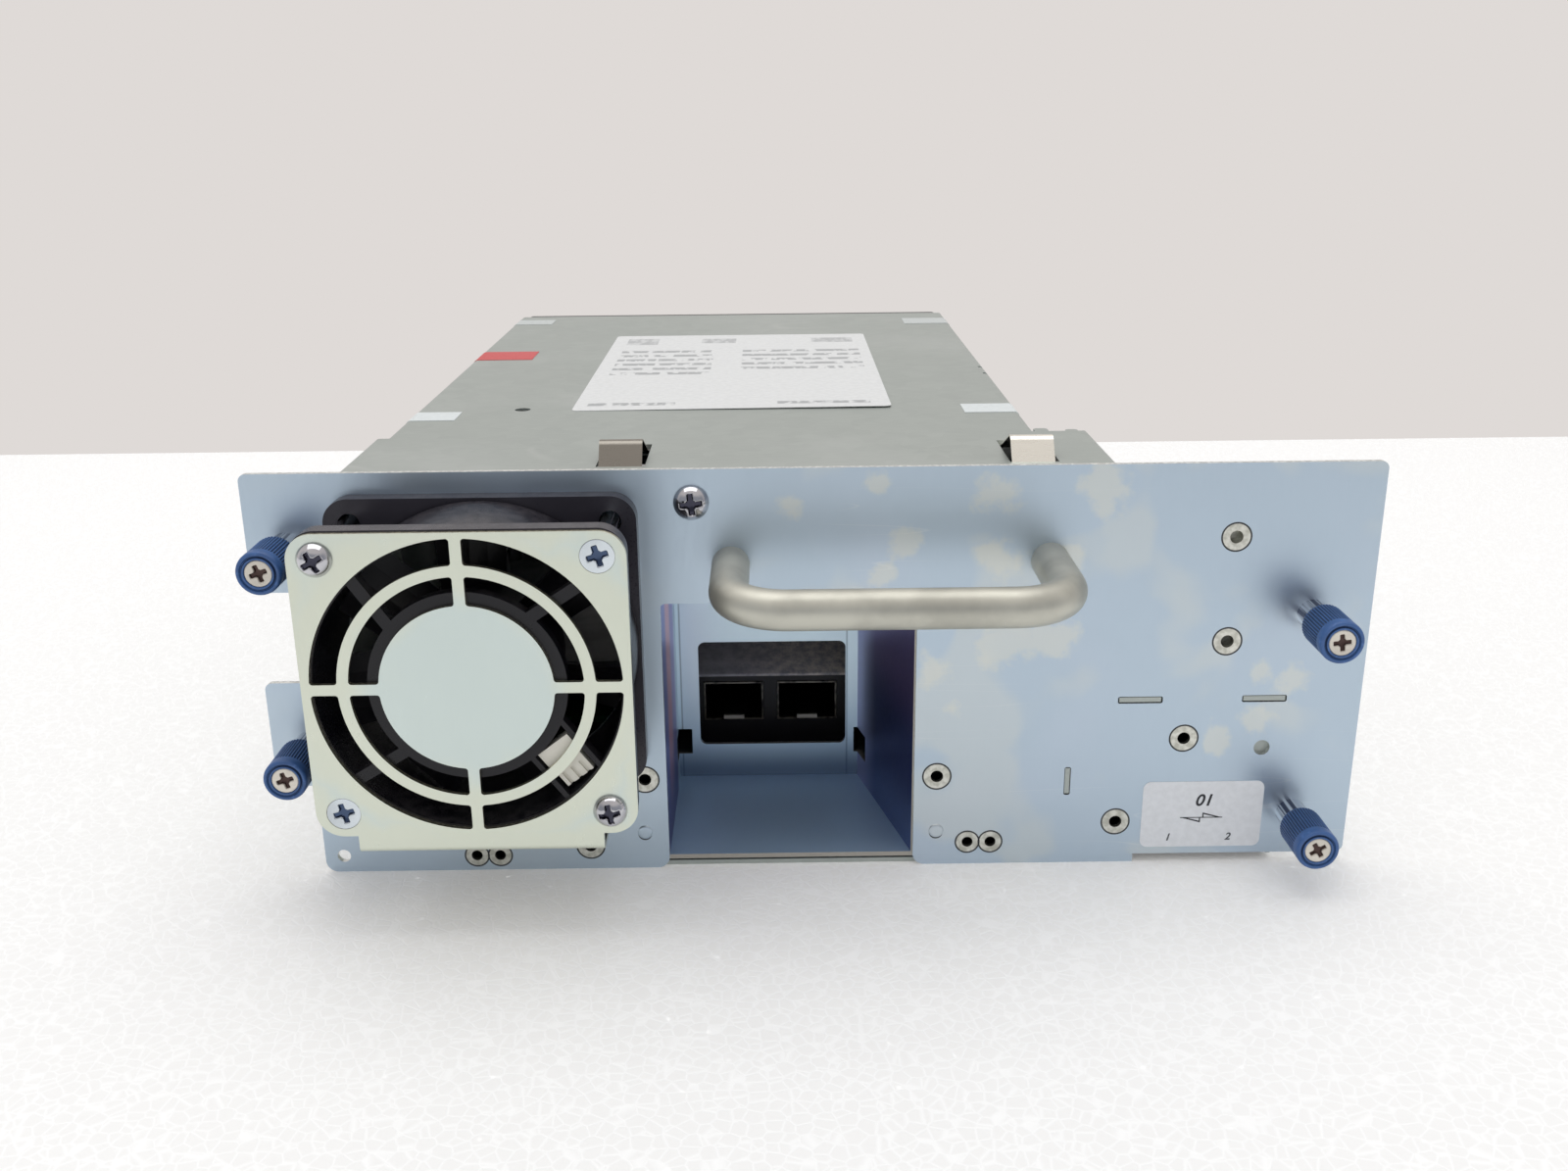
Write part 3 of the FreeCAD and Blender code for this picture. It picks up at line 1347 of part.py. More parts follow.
def can_motor(place, top):
    """Round motor standing on the deck, with a raised collar round its shaft's hole."""
    x, y = place
    can = rod_z(motor_radius, x, y, deck_top, top - 1)
    collar = rod_z(3.0, x, y, top - 1, top)
    return can.fuse(collar).cut(rod_z(motor_shaft / 2 + running_gap, x, y, top - 8, top + 1))


def motor_pinion(place, top, bearing, z0, z1):
    x, y = place
    wheel = gear(pinion_teeth, bearing, x, y, z0, z1)
    return joined([wheel, rod_z(motor_shaft / 2, x, y, top - 7, z0)])


# ---- leader grabber ---------------------------------------------------------
def grab_point(distance):
    angle = math.radians(grab_rest)
    return grab_pivot[0] + distance * math.cos(angle), grab_pivot[1] + distance * math.sin(angle)


def grabber_arm():
    """Long lever, wide at its boss and narrow at its tip, with its gear formed on top."""
    z0 = grab_z
    z1 = z0 + grab_sheet
    px, py = grab_pivot
    wide = grab_width / 2
    arm = plate("xy", [(px, py - wide), (px, py + wide), (px + grab_reach, py + grab_tip),
                       (px + grab_reach, py - grab_tip)], z0, z1)
    tip = rod_z(grab_tip, px + grab_reach, py, z0, z1)
    boss = rod_z(grab_boss, px, py, z0 - grab_boss_drop, z1)
    arm = joined([arm, tip, boss])
    for near, far in ((12, 46), (52, 86)):
        arm = arm.cut(plate("xy", rounded_rectangle(px + near, px + far, py - 2, py + 2, 1.9), z0 - 1,
                            z1 + 1))
    arm = arm.rotated(V(px, py, 0), V(0, 0, 1), grab_rest)
    wheel = gear(grab_teeth, thread_bearing, px, py, z1, z1 + grab_gear_width)
    bore = rod_z(grab_pin / 2 + running_gap, px, py, z0 - 20, z1 + grab_gear_width + 1)
    return joined([arm, wheel]).cut(bore)


def grabber_claw():
    """Gripper that hangs under the arm's tip, with a mouth for the tape's leader pin."""
    x, y = grab_point(grab_reach)
    post = rod_z(3.4, x, y, grab_foot, grab_z)
    mouth = box(x - 5, x - 1.2, y - 1.4, y + 1.4, grab_foot + 2, grab_z - 3)
    return post.cut(mouth.rotated(V(x, y, 0), V(0, 0, 1), 90))


def grabber_post():
    foot = grab_z - grab_boss_drop - seat_gap
    top = grab_z + grab_sheet + grab_gear_width + seat_gap
    profile = [(0, deck_foot + 0.5), (grab_pin / 2, deck_foot + 0.5), (grab_pin / 2, deck_top),
               (4.2, deck_top),
               (4.2, foot), (grab_pin / 2, foot), (grab_pin / 2, top), (3.6, top), (3.6, top + 1),
               (0, top + 1)]
    return turned(profile, V(grab_pivot[0], grab_pivot[1], 0), V(0, 0, 1))


# ---- build ------------------------------------------------------------------
os.makedirs("parts", exist_ok=True)

export("mounting_panel", mounting_panel())
export("clinch_studs", *[clinch_stud(stud_diameter, stud_bore, x, z) for x, z in stud_places],
       *[clinch_stud(pair_diameter, pair_bore, x, z) for x, z in pair_places])
export("panel_screw", pan_screw(*panel_screw_at, 0, panel_screw_head, 3.0, 5.0))
export("screw_ferrules", *[ferrule(x, z) for x, z in knob_places])
for number, (knob_x, knob_z) in enumerate(knob_places, 1):
    export("knob_%d" % number, knob(knob_x, knob_z))
    export("captive_screw_%d" % number, captive_screw(knob_x, knob_z))
    export("knob_spring_%d" % number, knob_spring(knob_x, knob_z))

export("pull_handle", pull_handle())
export("handle_screws", *[handle_screw_solid(x) for x in handle_legs()])

export("fan_frame", fan_frame())
export("fan_stator", fan_stator())
export("fan_rotor", fan_rotor())
export("fan_header", fan_header())
export("fan_plug", fan_plug())
export("fan_guard", fan_guard())
guard_face = -fan_depth - guard_sheet
guard_screw_length = fan_depth + guard_sheet + 3.5
places = fan_corners()
export("guard_flat_screws", *[flat_screw(*places[i], guard_face, guard_head, guard_screw, guard_screw_length)
                              for i in (1, 2)])
export("guard_pan_screws", *[pan_screw(*places[i], guard_face, guard_head, guard_screw, guard_screw_length)
                             for i in (0, 3)])

export("top_cover", top_cover())
export("earthing_clips", *[clip(centre) for centre in clip_centres])
export("sled_tray", sled_tray())
export("side_screws", *[side_screw(y, side) for y in side_screw_y for side in (-1, 1)])
export("slot_bezel", slot_bezel())

export("port_pocket", port_pocket())
export("port_bezel", port_bezel())
export("port_cages", *[port_cage(x) for x in cage_centres()])
export("main_board", main_board())
export("board_standoffs", *[standoff(x, y) for x, y in standoff_places()])
export("docking_bracket", docking_bracket())
export("docking_connector", docking_connector())

export("deck_casting", deck_casting())
export("reel_motors", motor_base(supply_y, motor_base_radius), motor_base(takeup_y, motor_base_radius))
export("supply_chuck", supply_chuck())
export("takeup_reel", takeup_reel())
for number, (roller_x, roller_y) in enumerate(roller_places, 1):
    export("guide_roller_%d" % number, guide_roller(roller_x, roller_y))

export("head_bridge", head_bridge())
export("head_carriage", head_carriage())
export("tape_head", tape_head())
export("head_actuator", actuator_motor())
export("lead_screw", lead_screw_solid())

motors = motor_places()
loader_motor_top = loader_gear_foot - 0.5
thread_motor_top = grab_z - 1.0
export("cartridge_carriage", cartridge_carriage())
export("carriage_rails", *carriage_rails())
export("loader_gear", loader_gear())
export("deck_posts", loader_post(), grabber_post(), *[roller_post(x, y) for x, y in roller_places],
       *[head_guide(y) for y in head_post_places()])
export("drive_motors", can_motor(motors["loader"], loader_motor_top),
       can_motor(motors["thread"], thread_motor_top))
export("loader_pinion", motor_pinion(motors["loader"], loader_motor_top, 90 + 180 / pinion_teeth,
                                     loader_gear_foot, loader_gear_foot + gear_width))
grab_gear_foot = grab_z + grab_sheet
export("thread_pinion", motor_pinion(motors["thread"], thread_motor_top,
                                     thread_bearing + 180 + 180 / pinion_teeth,
                                     grab_gear_foot, grab_gear_foot + grab_gear_width))
export("grabber_arm", grabber_arm())
export("grabber_claw", grabber_claw())
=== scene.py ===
import bpy
import numpy as np
from bpy.props import FloatProperty, FloatVectorProperty, IntProperty, PointerProperty
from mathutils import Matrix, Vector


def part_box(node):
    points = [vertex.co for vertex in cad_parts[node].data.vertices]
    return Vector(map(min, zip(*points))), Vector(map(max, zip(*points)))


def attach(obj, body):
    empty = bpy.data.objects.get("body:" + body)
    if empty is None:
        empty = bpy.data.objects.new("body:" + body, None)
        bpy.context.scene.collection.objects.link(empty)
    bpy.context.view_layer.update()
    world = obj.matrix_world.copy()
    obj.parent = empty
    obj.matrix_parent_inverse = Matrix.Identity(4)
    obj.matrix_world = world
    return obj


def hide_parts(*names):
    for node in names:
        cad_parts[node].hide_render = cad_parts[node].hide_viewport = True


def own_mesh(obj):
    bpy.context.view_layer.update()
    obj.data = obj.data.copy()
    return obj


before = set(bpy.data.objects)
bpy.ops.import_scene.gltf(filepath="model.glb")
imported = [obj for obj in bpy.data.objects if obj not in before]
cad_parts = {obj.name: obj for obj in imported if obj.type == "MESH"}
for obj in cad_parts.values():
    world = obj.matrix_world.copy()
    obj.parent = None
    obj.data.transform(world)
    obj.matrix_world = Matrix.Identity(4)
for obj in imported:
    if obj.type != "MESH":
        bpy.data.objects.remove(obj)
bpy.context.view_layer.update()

bl_info = {
    "name": "Tape drive module",
    "version": (1, 0, 0),
    "blender": (4, 5, 0),
    "location": "View3D > Sidebar > Tape drive",
    "description": "Finishes, labels and small parts of a tape library drive module",
    "category": "Object",
}

MM = 0.001
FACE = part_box("mounting_panel")[0].y  # outer face of the panel
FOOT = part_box("mounting_panel")[0].z
COVER_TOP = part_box("top_cover")[1].z / MM
FLOOR_END = 0.281                     # where the floor meets the wall, along y
FLOOR_REACH = 3.0                     # how far the floor goes on the other sides
PAPER = 0.12                          # thickness of a label, in mm
INK_LEVEL = FACE - 0.00015            # where the print on the panel's label lies
GUARD_HEAD = 0.0064                   # diameter of the guard's screw heads
PAN_RISE = 0.0024                     # height of a domed head above its seat
SPRING_WIRE = 0.175                   # half the thickness of a spring's wire, in mm
SPRING_TURNS = 3
THREAD_LENGTH = 8.0                   # threaded end of a captive screw, in mm
CAPTIVE_TURNS = (0.35, 0.3, 0.12, 0.55)   # how far each cross is turned, in radians
DRIVE_SIDES = (-95.0, 51.0)           # sides of the narrow part of the cover, in mm
PIPS = ((25.1, 7.8), (-35.6, 8.3))    # middles of the half-shear pips, in mm
PIP_PROFILE = ((0.0005, -0.32), (0.7, -0.31), (1.25, -0.26), (1.46, -0.14), (1.55, 0.0))
GROOVE_PROFILE = ((-0.08, -0.012), (0.0, -0.03), (0.18, -0.03), (0.26, -0.008))
STAINS = ((35.6, 80.3, 6.5), (37.1, 67.1, 6.5), (38.3, 49.7, 8.0), (47.0, 51.2, 5.5), (23.9, 44.3, 4.5),
          (27.8, 35.2, 3.2), (96.4, 41.1, 5.5), (89.9, 43.4, 5.0), (89.3, 32.0, 4.5), (55.2, 80.6, 6.0),
          (49.9, 67.0, 4.0), (81.8, 27.5, 4.5), (-4.9, 78.8, 3.6), (12.2, 82.8, 3.0), (16.8, 70.9, 4.2),
          (13.6, 64.0, 3.4))        # middles and radii of the panel's straw stains, in mm
STUD_RINGS = ((-35.2, 20.4, 2.8), (25.0, 20.3, 2.8), (62.5, 9.4, 2.8), (75.4, 28.2, 2.8), (82.5, 49.3, 2.8),
              (82.5, 71.1, 2.8), (-47.1, 5.3, 2.8), (31.7, 5.1, 2.38), (36.5, 5.1, 2.38), (-71.0, 3.4, 2.38),
              (-66.15, 3.4, 2.38))


# ---- meshes -----------------------------------------------------------------
def placed(name, mesh, body="chassis"):
    """New object at the origin that shows a mesh and rides on a body."""
    piece = bpy.data.objects.new(name, mesh)
    bpy.context.scene.collection.objects.link(piece)
    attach(piece, body)
    return piece


def show(name, vertices, faces, material, body="chassis", smooth=True, deep=None):
    """Puts arrays of vertices and faces into a new piece. deep is a value for each vertex that its
    material reads: 1 in the bottom of a recess or groove."""
    mesh = bpy.data.meshes.new(name)
    mesh.from_pydata(np.asarray(vertices).tolist(), [], np.asarray(faces).tolist())
    mesh.materials.append(material)
    mesh.shade_smooth() if smooth else mesh.shade_flat()
    if deep is not None:
        mesh.attributes.new("deep", "FLOAT", "POINT").data.foreach_set("value", np.ravel(deep))
    mesh.update()
    return placed(name, mesh, body)


def grid_faces(rows, columns, wrap=False):
    """Quads of a rows x columns grid of points; wrap joins the last column to the first."""
    r = np.arange(rows - 1)[:, None]
    c = np.arange(columns if wrap else columns - 1)[None, :]
    after = (c + 1) % columns
    quads = np.stack([r * columns + c, r * columns + after,
                      (r + 1) * columns + after, (r + 1) * columns + c], -1)
    return quads.reshape(-1, 4)


def turned(profile, centre, segments=48, ripple=None):
    """Surface of revolution: point (radius, depth) of the profile, in mm, swept round an axis along y.
    ripple(angle, row) is added to the radius, which gives ridges along the axis."""
    profile = np.asarray(profile, float) * MM
    angle = np.linspace(0, 2 * np.pi, segments, endpoint=False)
    radius = np.repeat(profile[:, :1], segments, 1)
    if ripple is not None:
        radius = radius + ripple(angle[None, :], np.arange(len(profile))[:, None])
    depth = np.repeat(profile[:, 1:], segments, 1)
    local = np.stack([radius * np.cos(angle), depth, -radius * np.sin(angle)], -1)
    return local.reshape(-1, 3) + np.asarray(centre), grid_faces(len(profile), segments, wrap=True)


def merged(parts):
    """One list of vertices and faces from several."""
    points, faces, offset = [], [], 0
    for p, f in parts:
        points.append(p)
        faces.append(np.asarray(f) + offset)
        offset += len(p)
    return np.vstack(points), np.vstack(faces)


def on_face(place):
    """Points in mm, measured along y from the panel's outer face, as places in the frame."""
    return place.reshape(-1, 3) * MM + np.array([0, FACE, 0])


def front_of(node):
    """Middle of a node's front face, its radius across x and its length along y, both in mm."""
    low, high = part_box(node)
    middle = ((low.x + high.x) / 2, low.y, (low.z + high.z) / 2)
    return middle, (high.x - low.x) / 2 / MM, (high.y - low.y) / MM


# ---- shader building --------------------------------------------------------
COLOR, FLOAT, VECTOR = "NodeSocketColor", "NodeSocketFloat", "NodeSocketVector"
WHITE = (1.0, 1.0, 1.0, 1.0)


def rgb(red, green, blue):
    """Linear colour from values of 0 to 255 as a screen shows them."""
    def linear(c):
        c = c / 255
        return c / 12.92 if c <= 0.04045 else ((c + 0.055) / 1.055) ** 2.4
    return (linear(red), linear(green), linear(blue), 1.0)


def dimmed(colour, share):
    return tuple(c * share for c in colour[:3]) + (1.0,)


class Wiring:
    """Adds nodes to one shader tree, with short names for those that recur."""

    def __init__(self, tree):
        self.tree = tree
        self.link = tree.links.new

    def put(self, kind, settings=None, **inputs):
        """Adds a node. Inputs are named with underscores for spaces, or i0, i1 for their order;
        a socket is linked and anything else is set."""
        node = self.tree.nodes.new(kind)
        for name, value in (settings or {}).items():
            setattr(node, name, value)
        for name, value in inputs.items():
            key = int(name[1:]) if name[0] == "i" and name[1:].isdigit() else name.replace("_", " ")
            if isinstance(value, bpy.types.NodeSocket):
                self.link(value, node.inputs[key])
            else:
                node.inputs[key].default_value = value
        return node

    def math(self, operation, a, b=0.0, clamp=False):
        return self.put("ShaderNodeMath", {"operation": operation, "use_clamp": clamp}, i0=a, i1=b).outputs[0]

    def times(self, a, b, clamp=False):
        return self.math("MULTIPLY", a, b, clamp)

    def plus(self, a, b):
        return self.math("ADD", a, b)

    def most(self, a, b):
        return self.math("MAXIMUM", a, b)

    def gap(self, a, b):
        """How far two values are apart."""
        return self.math("ABSOLUTE", self.math("SUBTRACT", a, b))

    def vector(self, operation, a, b=(0, 0, 0)):
        return self.put("ShaderNodeVectorMath", {"operation": operation}, i0=a, i1=b).outputs

    def axes(self, vector):
        return self.put("ShaderNodeSeparateXYZ", Vector=vector).outputs

    def mix(self, share, a, b):
        return self.put("ShaderNodeMix", {"data_type": "RGBA"}, Factor=share, i6=a, i7=b).outputs[2]

    def band(self, value, low, high, first=0.0, last=1.0):
        """Smooth step of a value from first at low to last at high."""
        return self.put("ShaderNodeMapRange", {"interpolation_type": "SMOOTHSTEP"}, Value=value, From_Min=low,
                        From_Max=high, To_Min=first, To_Max=last).outputs[0]

    def noise(self, vector, scale, detail, **more):
        return self.put("ShaderNodeTexNoise", Vector=vector, Scale=scale, Detail=detail, **more).outputs[0]

    def use(self, made, **inputs):
        return self.put("ShaderNodeGroup", {"node_tree": made}, **inputs).outputs

    def direct(self):
        """1 for what the camera sees, also in gloss and through glass."""
        seen = self.put("ShaderNodeLightPath").outputs
        return self.most(self.most(seen["Is Camera Ray"], seen["Is Glossy Ray"]), seen["Is Transmission Ray"])


class Finish(Wiring):
    """A new material with a bare Principled shader; place and normal are the object's coordinates."""

    def __init__(self, name):
        self.material = bpy.data.materials.new(name)
        self.material.use_nodes = True
        super().__init__(self.material.node_tree)
        self.tree.nodes.clear()
        self.shader = self.put("ShaderNodeBsdfPrincipled")
        self.output = self.put("ShaderNodeOutputMaterial", Surface=self.shader.outputs[0])
        coordinates = self.put("ShaderNodeTexCoord").outputs
        self.place, self.normal = coordinates["Object"], coordinates["Normal"]

    def flattened(self):
        """The place without its depth."""
        return self.vector("MULTIPLY", self.place, (1, 0, 1))[0]

    def raised(self, height, strength, reach):
        """Bump from a height, with its reach in mm."""
        bump = self.put("ShaderNodeBump", Height=height, Strength=strength, Distance=reach * MM)
        self.link(bump.outputs[0], self.shader.inputs["Normal"])

    def hairlines(self, amount):
        return self.use(scratch_group(), Vector=self.place, Amount=amount)["Mask"]

    def grained(self, tone, low, high, strength, reach=0.05, scale=1500.0, stretch=(1, 1, 1), metal=0.0):
        """Ends a material: its tone, a gloss that a stretched grain moves from low to high, and the
        grain's bump."""
        grain = self.use(grain_group(), Vector=self.place, Stretch=stretch, Scale=scale, Low=low, High=high)
        self.gloss = grain["Gloss"]
        self.link(tone, self.shader.inputs["Base Color"])
        self.link(self.gloss, self.shader.inputs["Roughness"])
        self.shader.inputs["Metallic"].default_value = metal
        self.raised(grain["Height"], strength, reach)
        return self.material


def group(name, inputs, outputs, wire):
    """Node group made once; wire(net, entry, leave) joins it up."""
    if name in bpy.data.node_groups:
        return bpy.data.node_groups[name]
    tree = bpy.data.node_groups.new(name, "ShaderNodeTree")
    for label, kind, value in inputs:
        socket = tree.interface.new_socket(label, in_out="INPUT", socket_type=kind)
        if value is not None:
            socket.default_value = value
    for label, kind in outputs:
        tree.interface.new_socket(label, in_out="OUTPUT", socket_type=kind)
    wire(Wiring(tree), tree.nodes.new("NodeGroupInput").outputs, tree.nodes.new("NodeGroupOutput").inputs)
    return tree


def cloud_group():
    """Two tints laid over a base colour in soft-edged patches, as on passivated zinc."""
    def wire(net, entry, leave):
        place, scale, amount = entry["Vector"], entry["Scale"], entry["Amount"]
        first = net.noise(place, scale, 2.5, Roughness=0.42, Distortion=0.25)
        shifted = net.put("ShaderNodeMapping", Vector=place, Location=(0.37, 0.11, 0.53)).outputs[0]
        second = net.noise(shifted, net.times(scale, 0.62), 2.0, Roughness=0.4, Distortion=0.2)
        patch = net.times(net.band(first, 0.52, 0.64), amount, True)
        veil = net.times(net.band(second, 0.5, 0.72), amount, True)
        net.link(net.mix(patch, net.mix(veil, entry["Base"], entry["Veil"]), entry["Patch"]), leave["Color"])
    return group("Passivation clouds",
                 [("Vector", VECTOR, None), ("Base", COLOR, WHITE), ("Patch", COLOR, WHITE),
                  ("Veil", COLOR, WHITE), ("Scale", FLOAT, 20.0), ("Amount", FLOAT, 0.6)],
                 [("Color", COLOR)], wire)


def edge_group():
    """Mask of the sheet's cut edges: the faces that stand across the sheet's own normal."""
    def wire(net, entry, leave):
        normal = net.put("ShaderNodeTexCoord").outputs["Normal"]
        flat = net.math("ABSOLUTE", net.vector("DOT_PRODUCT", normal, entry["Sheet normal"])["Value"])
        net.link(net.band(flat, 0.35, 0.8, 1.0, 0.0), leave["Mask"])
    return group("Cut edge", [("Sheet normal", VECTOR, (0, 1, 0))], [("Mask", FLOAT)], wire)


def grain_group():
    """Fine stretched grain, as a height for bump and a value that varies the gloss."""
    def wire(net, entry, leave):
        stretched = net.vector("MULTIPLY", entry["Vector"], entry["Stretch"])[0]
        fine = net.noise(stretched, entry["Scale"], 4.0, Roughness=0.6)
        both = net.plus(net.times(fine, 0.6), net.times(net.noise(entry["Vector"], 35.0, 3.0), 0.4))
        net.link(fine, leave["Height"])
        net.link(net.put("ShaderNodeMapRange", Value=both, From_Min=0.3, From_Max=0.7, To_Min=entry["Low"],
                         To_Max=entry["High"]).outputs[0], leave["Gloss"])
    return group("Stretched grain",
                 [("Vector", VECTOR, None), ("Stretch", VECTOR, (1, 1, 1)), ("Scale", FLOAT, 900.0),
                  ("Low", FLOAT, 0.3), ("High", FLOAT, 0.45)],
                 [("Height", FLOAT), ("Gloss", FLOAT)], wire)


def dust_group():
    """Pale dust that gathers on faces looking up."""
    def wire(net, entry, leave):
        coordinates = net.put("ShaderNodeTexCoord").outputs
        up = net.axes(coordinates["Normal"])["Z"]
        speck = net.noise(coordinates["Object"], 420.0, 5.0, Roughness=0.7)
        cover = net.times(net.band(up, 0.2, 0.95), net.band(speck, 0.35, 0.65), True)
        mask = net.times(cover, entry["Amount"], True)
        net.link(net.mix(mask, entry["Color"], entry["Dust"]), leave["Color"])
    return group("Settled dust",
                 [("Color", COLOR, WHITE), ("Dust", COLOR, rgb(150, 145, 138)), ("Amount", FLOAT, 0.5)],
                 [("Color", COLOR)], wire)


def scratch_group():
    """Sparse hairline scratches: thin crossings of a stretched noise through one level."""
    def wire(net, entry, leave):
        stretched = net.put("ShaderNodeMapping", Vector=entry["Vector"], Rotation=(0.3, 0.9, 0.5),
                            Scale=(9.0, 9.0, 140.0)).outputs[0]
        line = net.band(net.gap(net.noise(stretched, 1.0, 2.0), 0.5), 0.0, 0.006, 1.0, 0.0)
        gate = net.band(net.noise(entry["Vector"], 22.0, 1.0), 0.56, 0.66)
        net.link(net.times(net.times(line, gate, True), entry["Amount"], True), leave["Mask"])
    return group("Hairline scratches", [("Vector", VECTOR, None), ("Amount", FLOAT, 0.5)],
                 [("Mask", FLOAT)], wire)


# ---- finishes ---------------------------------------------------------------
def plated_sheet(name, base, patch, veil, amount, scale, low=0.26, high=0.36, edge=rgb(244, 245, 240),
                 stains=None, spread=None):
    """Passivated zinc plate: clouded tints, cut edges painted bright with a torn sparkle as a painted
    highlight, hairlines and a faint rolled grain.
    spread(finish) is where on the sheet the tints show, and stains(finish) a mask of the patch tone
    laid over them."""
    m = Finish(name)
    if spread:
        amount = m.times(spread(m), amount)
    tone = m.use(cloud_group(), Vector=m.place, Base=base, Patch=patch, Veil=veil, Scale=scale,
                 Amount=amount)["Color"]
    tone = m.mix(stains(m), tone, patch)
    tone = m.mix(m.hairlines(0.22), tone, rgb(230, 232, 232))
    # painted highlight: the cut edges are painted bright, broken by a fine noise into sparkle
    cut = m.mix(m.band(m.noise(m.place, 1300.0, 3.0), 0.42, 0.62), dimmed(edge, 0.68), edge)
    tone = m.mix(m.times(m.use(edge_group(), Sheet_normal=(0, 1, 0))["Mask"], 0.85), tone, cut)
    return m.grained(tone, low, high, 0.025, 0.1, stretch=(1.0, 1.0, 0.18), metal=0.95)


def moulded(name, colour, low, high, dust, strength=0.15, dust_tone=rgb(150, 145, 138)):
    """Moulded plastic: fine erosion texture, a gloss that wanders, and settled dust."""
    m = Finish(name)
    tone = m.mix(m.band(m.noise(m.place, 60.0, 3.0), 0.35, 0.65), dimmed(colour, 0.72), colour)
    tone = m.use(dust_group(), Color=tone, Dust=dust_tone, Amount=dust)["Color"]
    return m.grained(tone, low, high, strength, 0.06, 2600.0)


def recessed(m, tone, recess_shade_tone):
    """The tone, taken over by a darker one as painted shade where the piece's own attribute says it is
    deep.
    """
    deep = m.put("ShaderNodeAttribute", {"attribute_name": "deep"}).outputs["Fac"]
    return m.mix(m.band(deep, 0.15, 0.7), tone, recess_shade_tone)


def machined(name, colour, low, high, stretch=(1, 1, 1), scale=1400.0, strength=0.08, metal=1.0,
             recess_shade_tone=None):
    """Bare or plated metal: directional grain with slight stains, and painted shade in a recess."""
    m = Finish(name)
    tone = m.mix(m.band(m.noise(m.place, 90.0, 4.0), 0.3, 0.62), dimmed(colour, 0.78), colour)
    if recess_shade_tone:
        tone = recessed(m, tone, recess_shade_tone)
    return m.grained(tone, low, high, strength, 0.05, scale, stretch, metal)


def pocket_zinc():
    """Panel zinc with painted shade along its folds, rougher on the pocket's floor and with painted
    shade low on the back wall. Film colours run from front to back down the left wall: violet, pink,
    lilac, then plain. The right wall is painted as a reflection of the dark pocket: navy, blue along
    its foot, violet at its top and lilac at its far end."""
    m = Finish("pocket_zinc")
    low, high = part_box("port_pocket")
    across, depth, height = m.axes(m.place)
    normal = m.axes(m.normal)

    def up(start, stop, first=0.0, last=1.0):
        return m.band(height, low.z + start * MM, low.z + stop * MM, first, last)

    def inward(start, stop, first=0.0, last=1.0):
        return m.band(depth, low.y + start * MM, low.y + stop * MM, first, last)

    tone = m.use(cloud_group(), Vector=m.place, Base=rgb(214, 235, 246), Patch=rgb(202, 224, 238),
                 Veil=rgb(196, 216, 232), Scale=26.0, Amount=0.4)["Color"]
    level = m.band(normal["Z"], 0.5, 0.9)
    back = m.band(normal["Y"], -0.5, -0.9)
    # painted shade: the back wall darkens towards its foot
    back_wall_foot_shade = m.times(back, m.times(up(2, 13, 1.0, 0.0), 0.9))
    tone = m.mix(back_wall_foot_shade, tone, rgb(92, 108, 130))
    # painted shade: a dark line along each fold of the back wall
    for x in (low.x + 1.9 * MM, high.x - 12.7 * MM):
        fold = m.band(m.gap(across, x), 0.08 * MM, 0.28 * MM, 0.5, 0.0)
        tone = m.mix(m.times(back, fold), tone, rgb(70, 84, 106))
    floor = m.times(level, up(2, 3, 1.0, 0.0))
    tone = m.mix(floor, tone, rgb(190, 214, 236))
    film = m.mix(inward(6, 12), rgb(150, 156, 222), rgb(244, 186, 204))
    film = m.mix(inward(18, 23), film, rgb(176, 160, 218))
    left = m.times(m.band(normal["X"], 0.5, 0.9), inward(28, 34, 1.0, 0.15), True)
    tone = m.mix(left, tone, m.mix(up(4, 26), rgb(104, 104, 158), film))
    # painted reflection: the right wall's navy, blue, violet and lilac stand in for the dark pocket it
    # reflects
    shade = m.mix(up(4, 18), rgb(100, 118, 166), rgb(60, 68, 118))
    shade = m.mix(up(24, 40), shade, rgb(116, 102, 150))
    shade = m.mix(m.band(depth, high.y - 15 * MM, high.y - 2 * MM), shade, rgb(190, 192, 226))
    tone = m.mix(m.band(normal["X"], -0.5, -0.9), tone, shade)
    rim = m.times(inward(1.8, 2.0, 1.0, 0.0), back)
    tone = m.mix(m.most(rim, m.times(level, up(4, 5))), tone, rgb(180, 176, 168))
    m.grained(tone, 0.34, 0.42, 0.03, stretch=(1.0, 1.0, 0.4), metal=0.75)
    rough = m.put("ShaderNodeMix", {"data_type": "FLOAT"}, i0=floor, i2=m.gloss, i3=0.55)
    m.link(rough.outputs[0], m.shader.inputs["Roughness"])
    return m.material


def galvanised(name, base, dull, low=0.4, high=0.52):
    """Dull galvanised sheet with a small soft spangle and a trace of handling marks."""
    m = Finish(name)
    spangle = m.put("ShaderNodeTexVoronoi", {"feature": "F1"}, Vector=m.place, Scale=260.0).outputs["Color"]
    grey = m.put("ShaderNodeRGBToBW", Color=spangle).outputs[0]
    tone = m.mix(m.times(grey, 0.22), base, dull)
    marks = m.band(m.noise(m.place, 18.0, 5.0, Roughness=0.6), 0.45, 0.7)
    tone = m.mix(m.times(marks, 0.35), tone, rgb(196, 200, 198))
    tone = m.mix(m.hairlines(0.2), tone, rgb(214, 216, 214))
    return m.grained(tone, low, high, 0.08, 0.1, 1200.0, (0.2, 1.0, 1.0), 0.85)


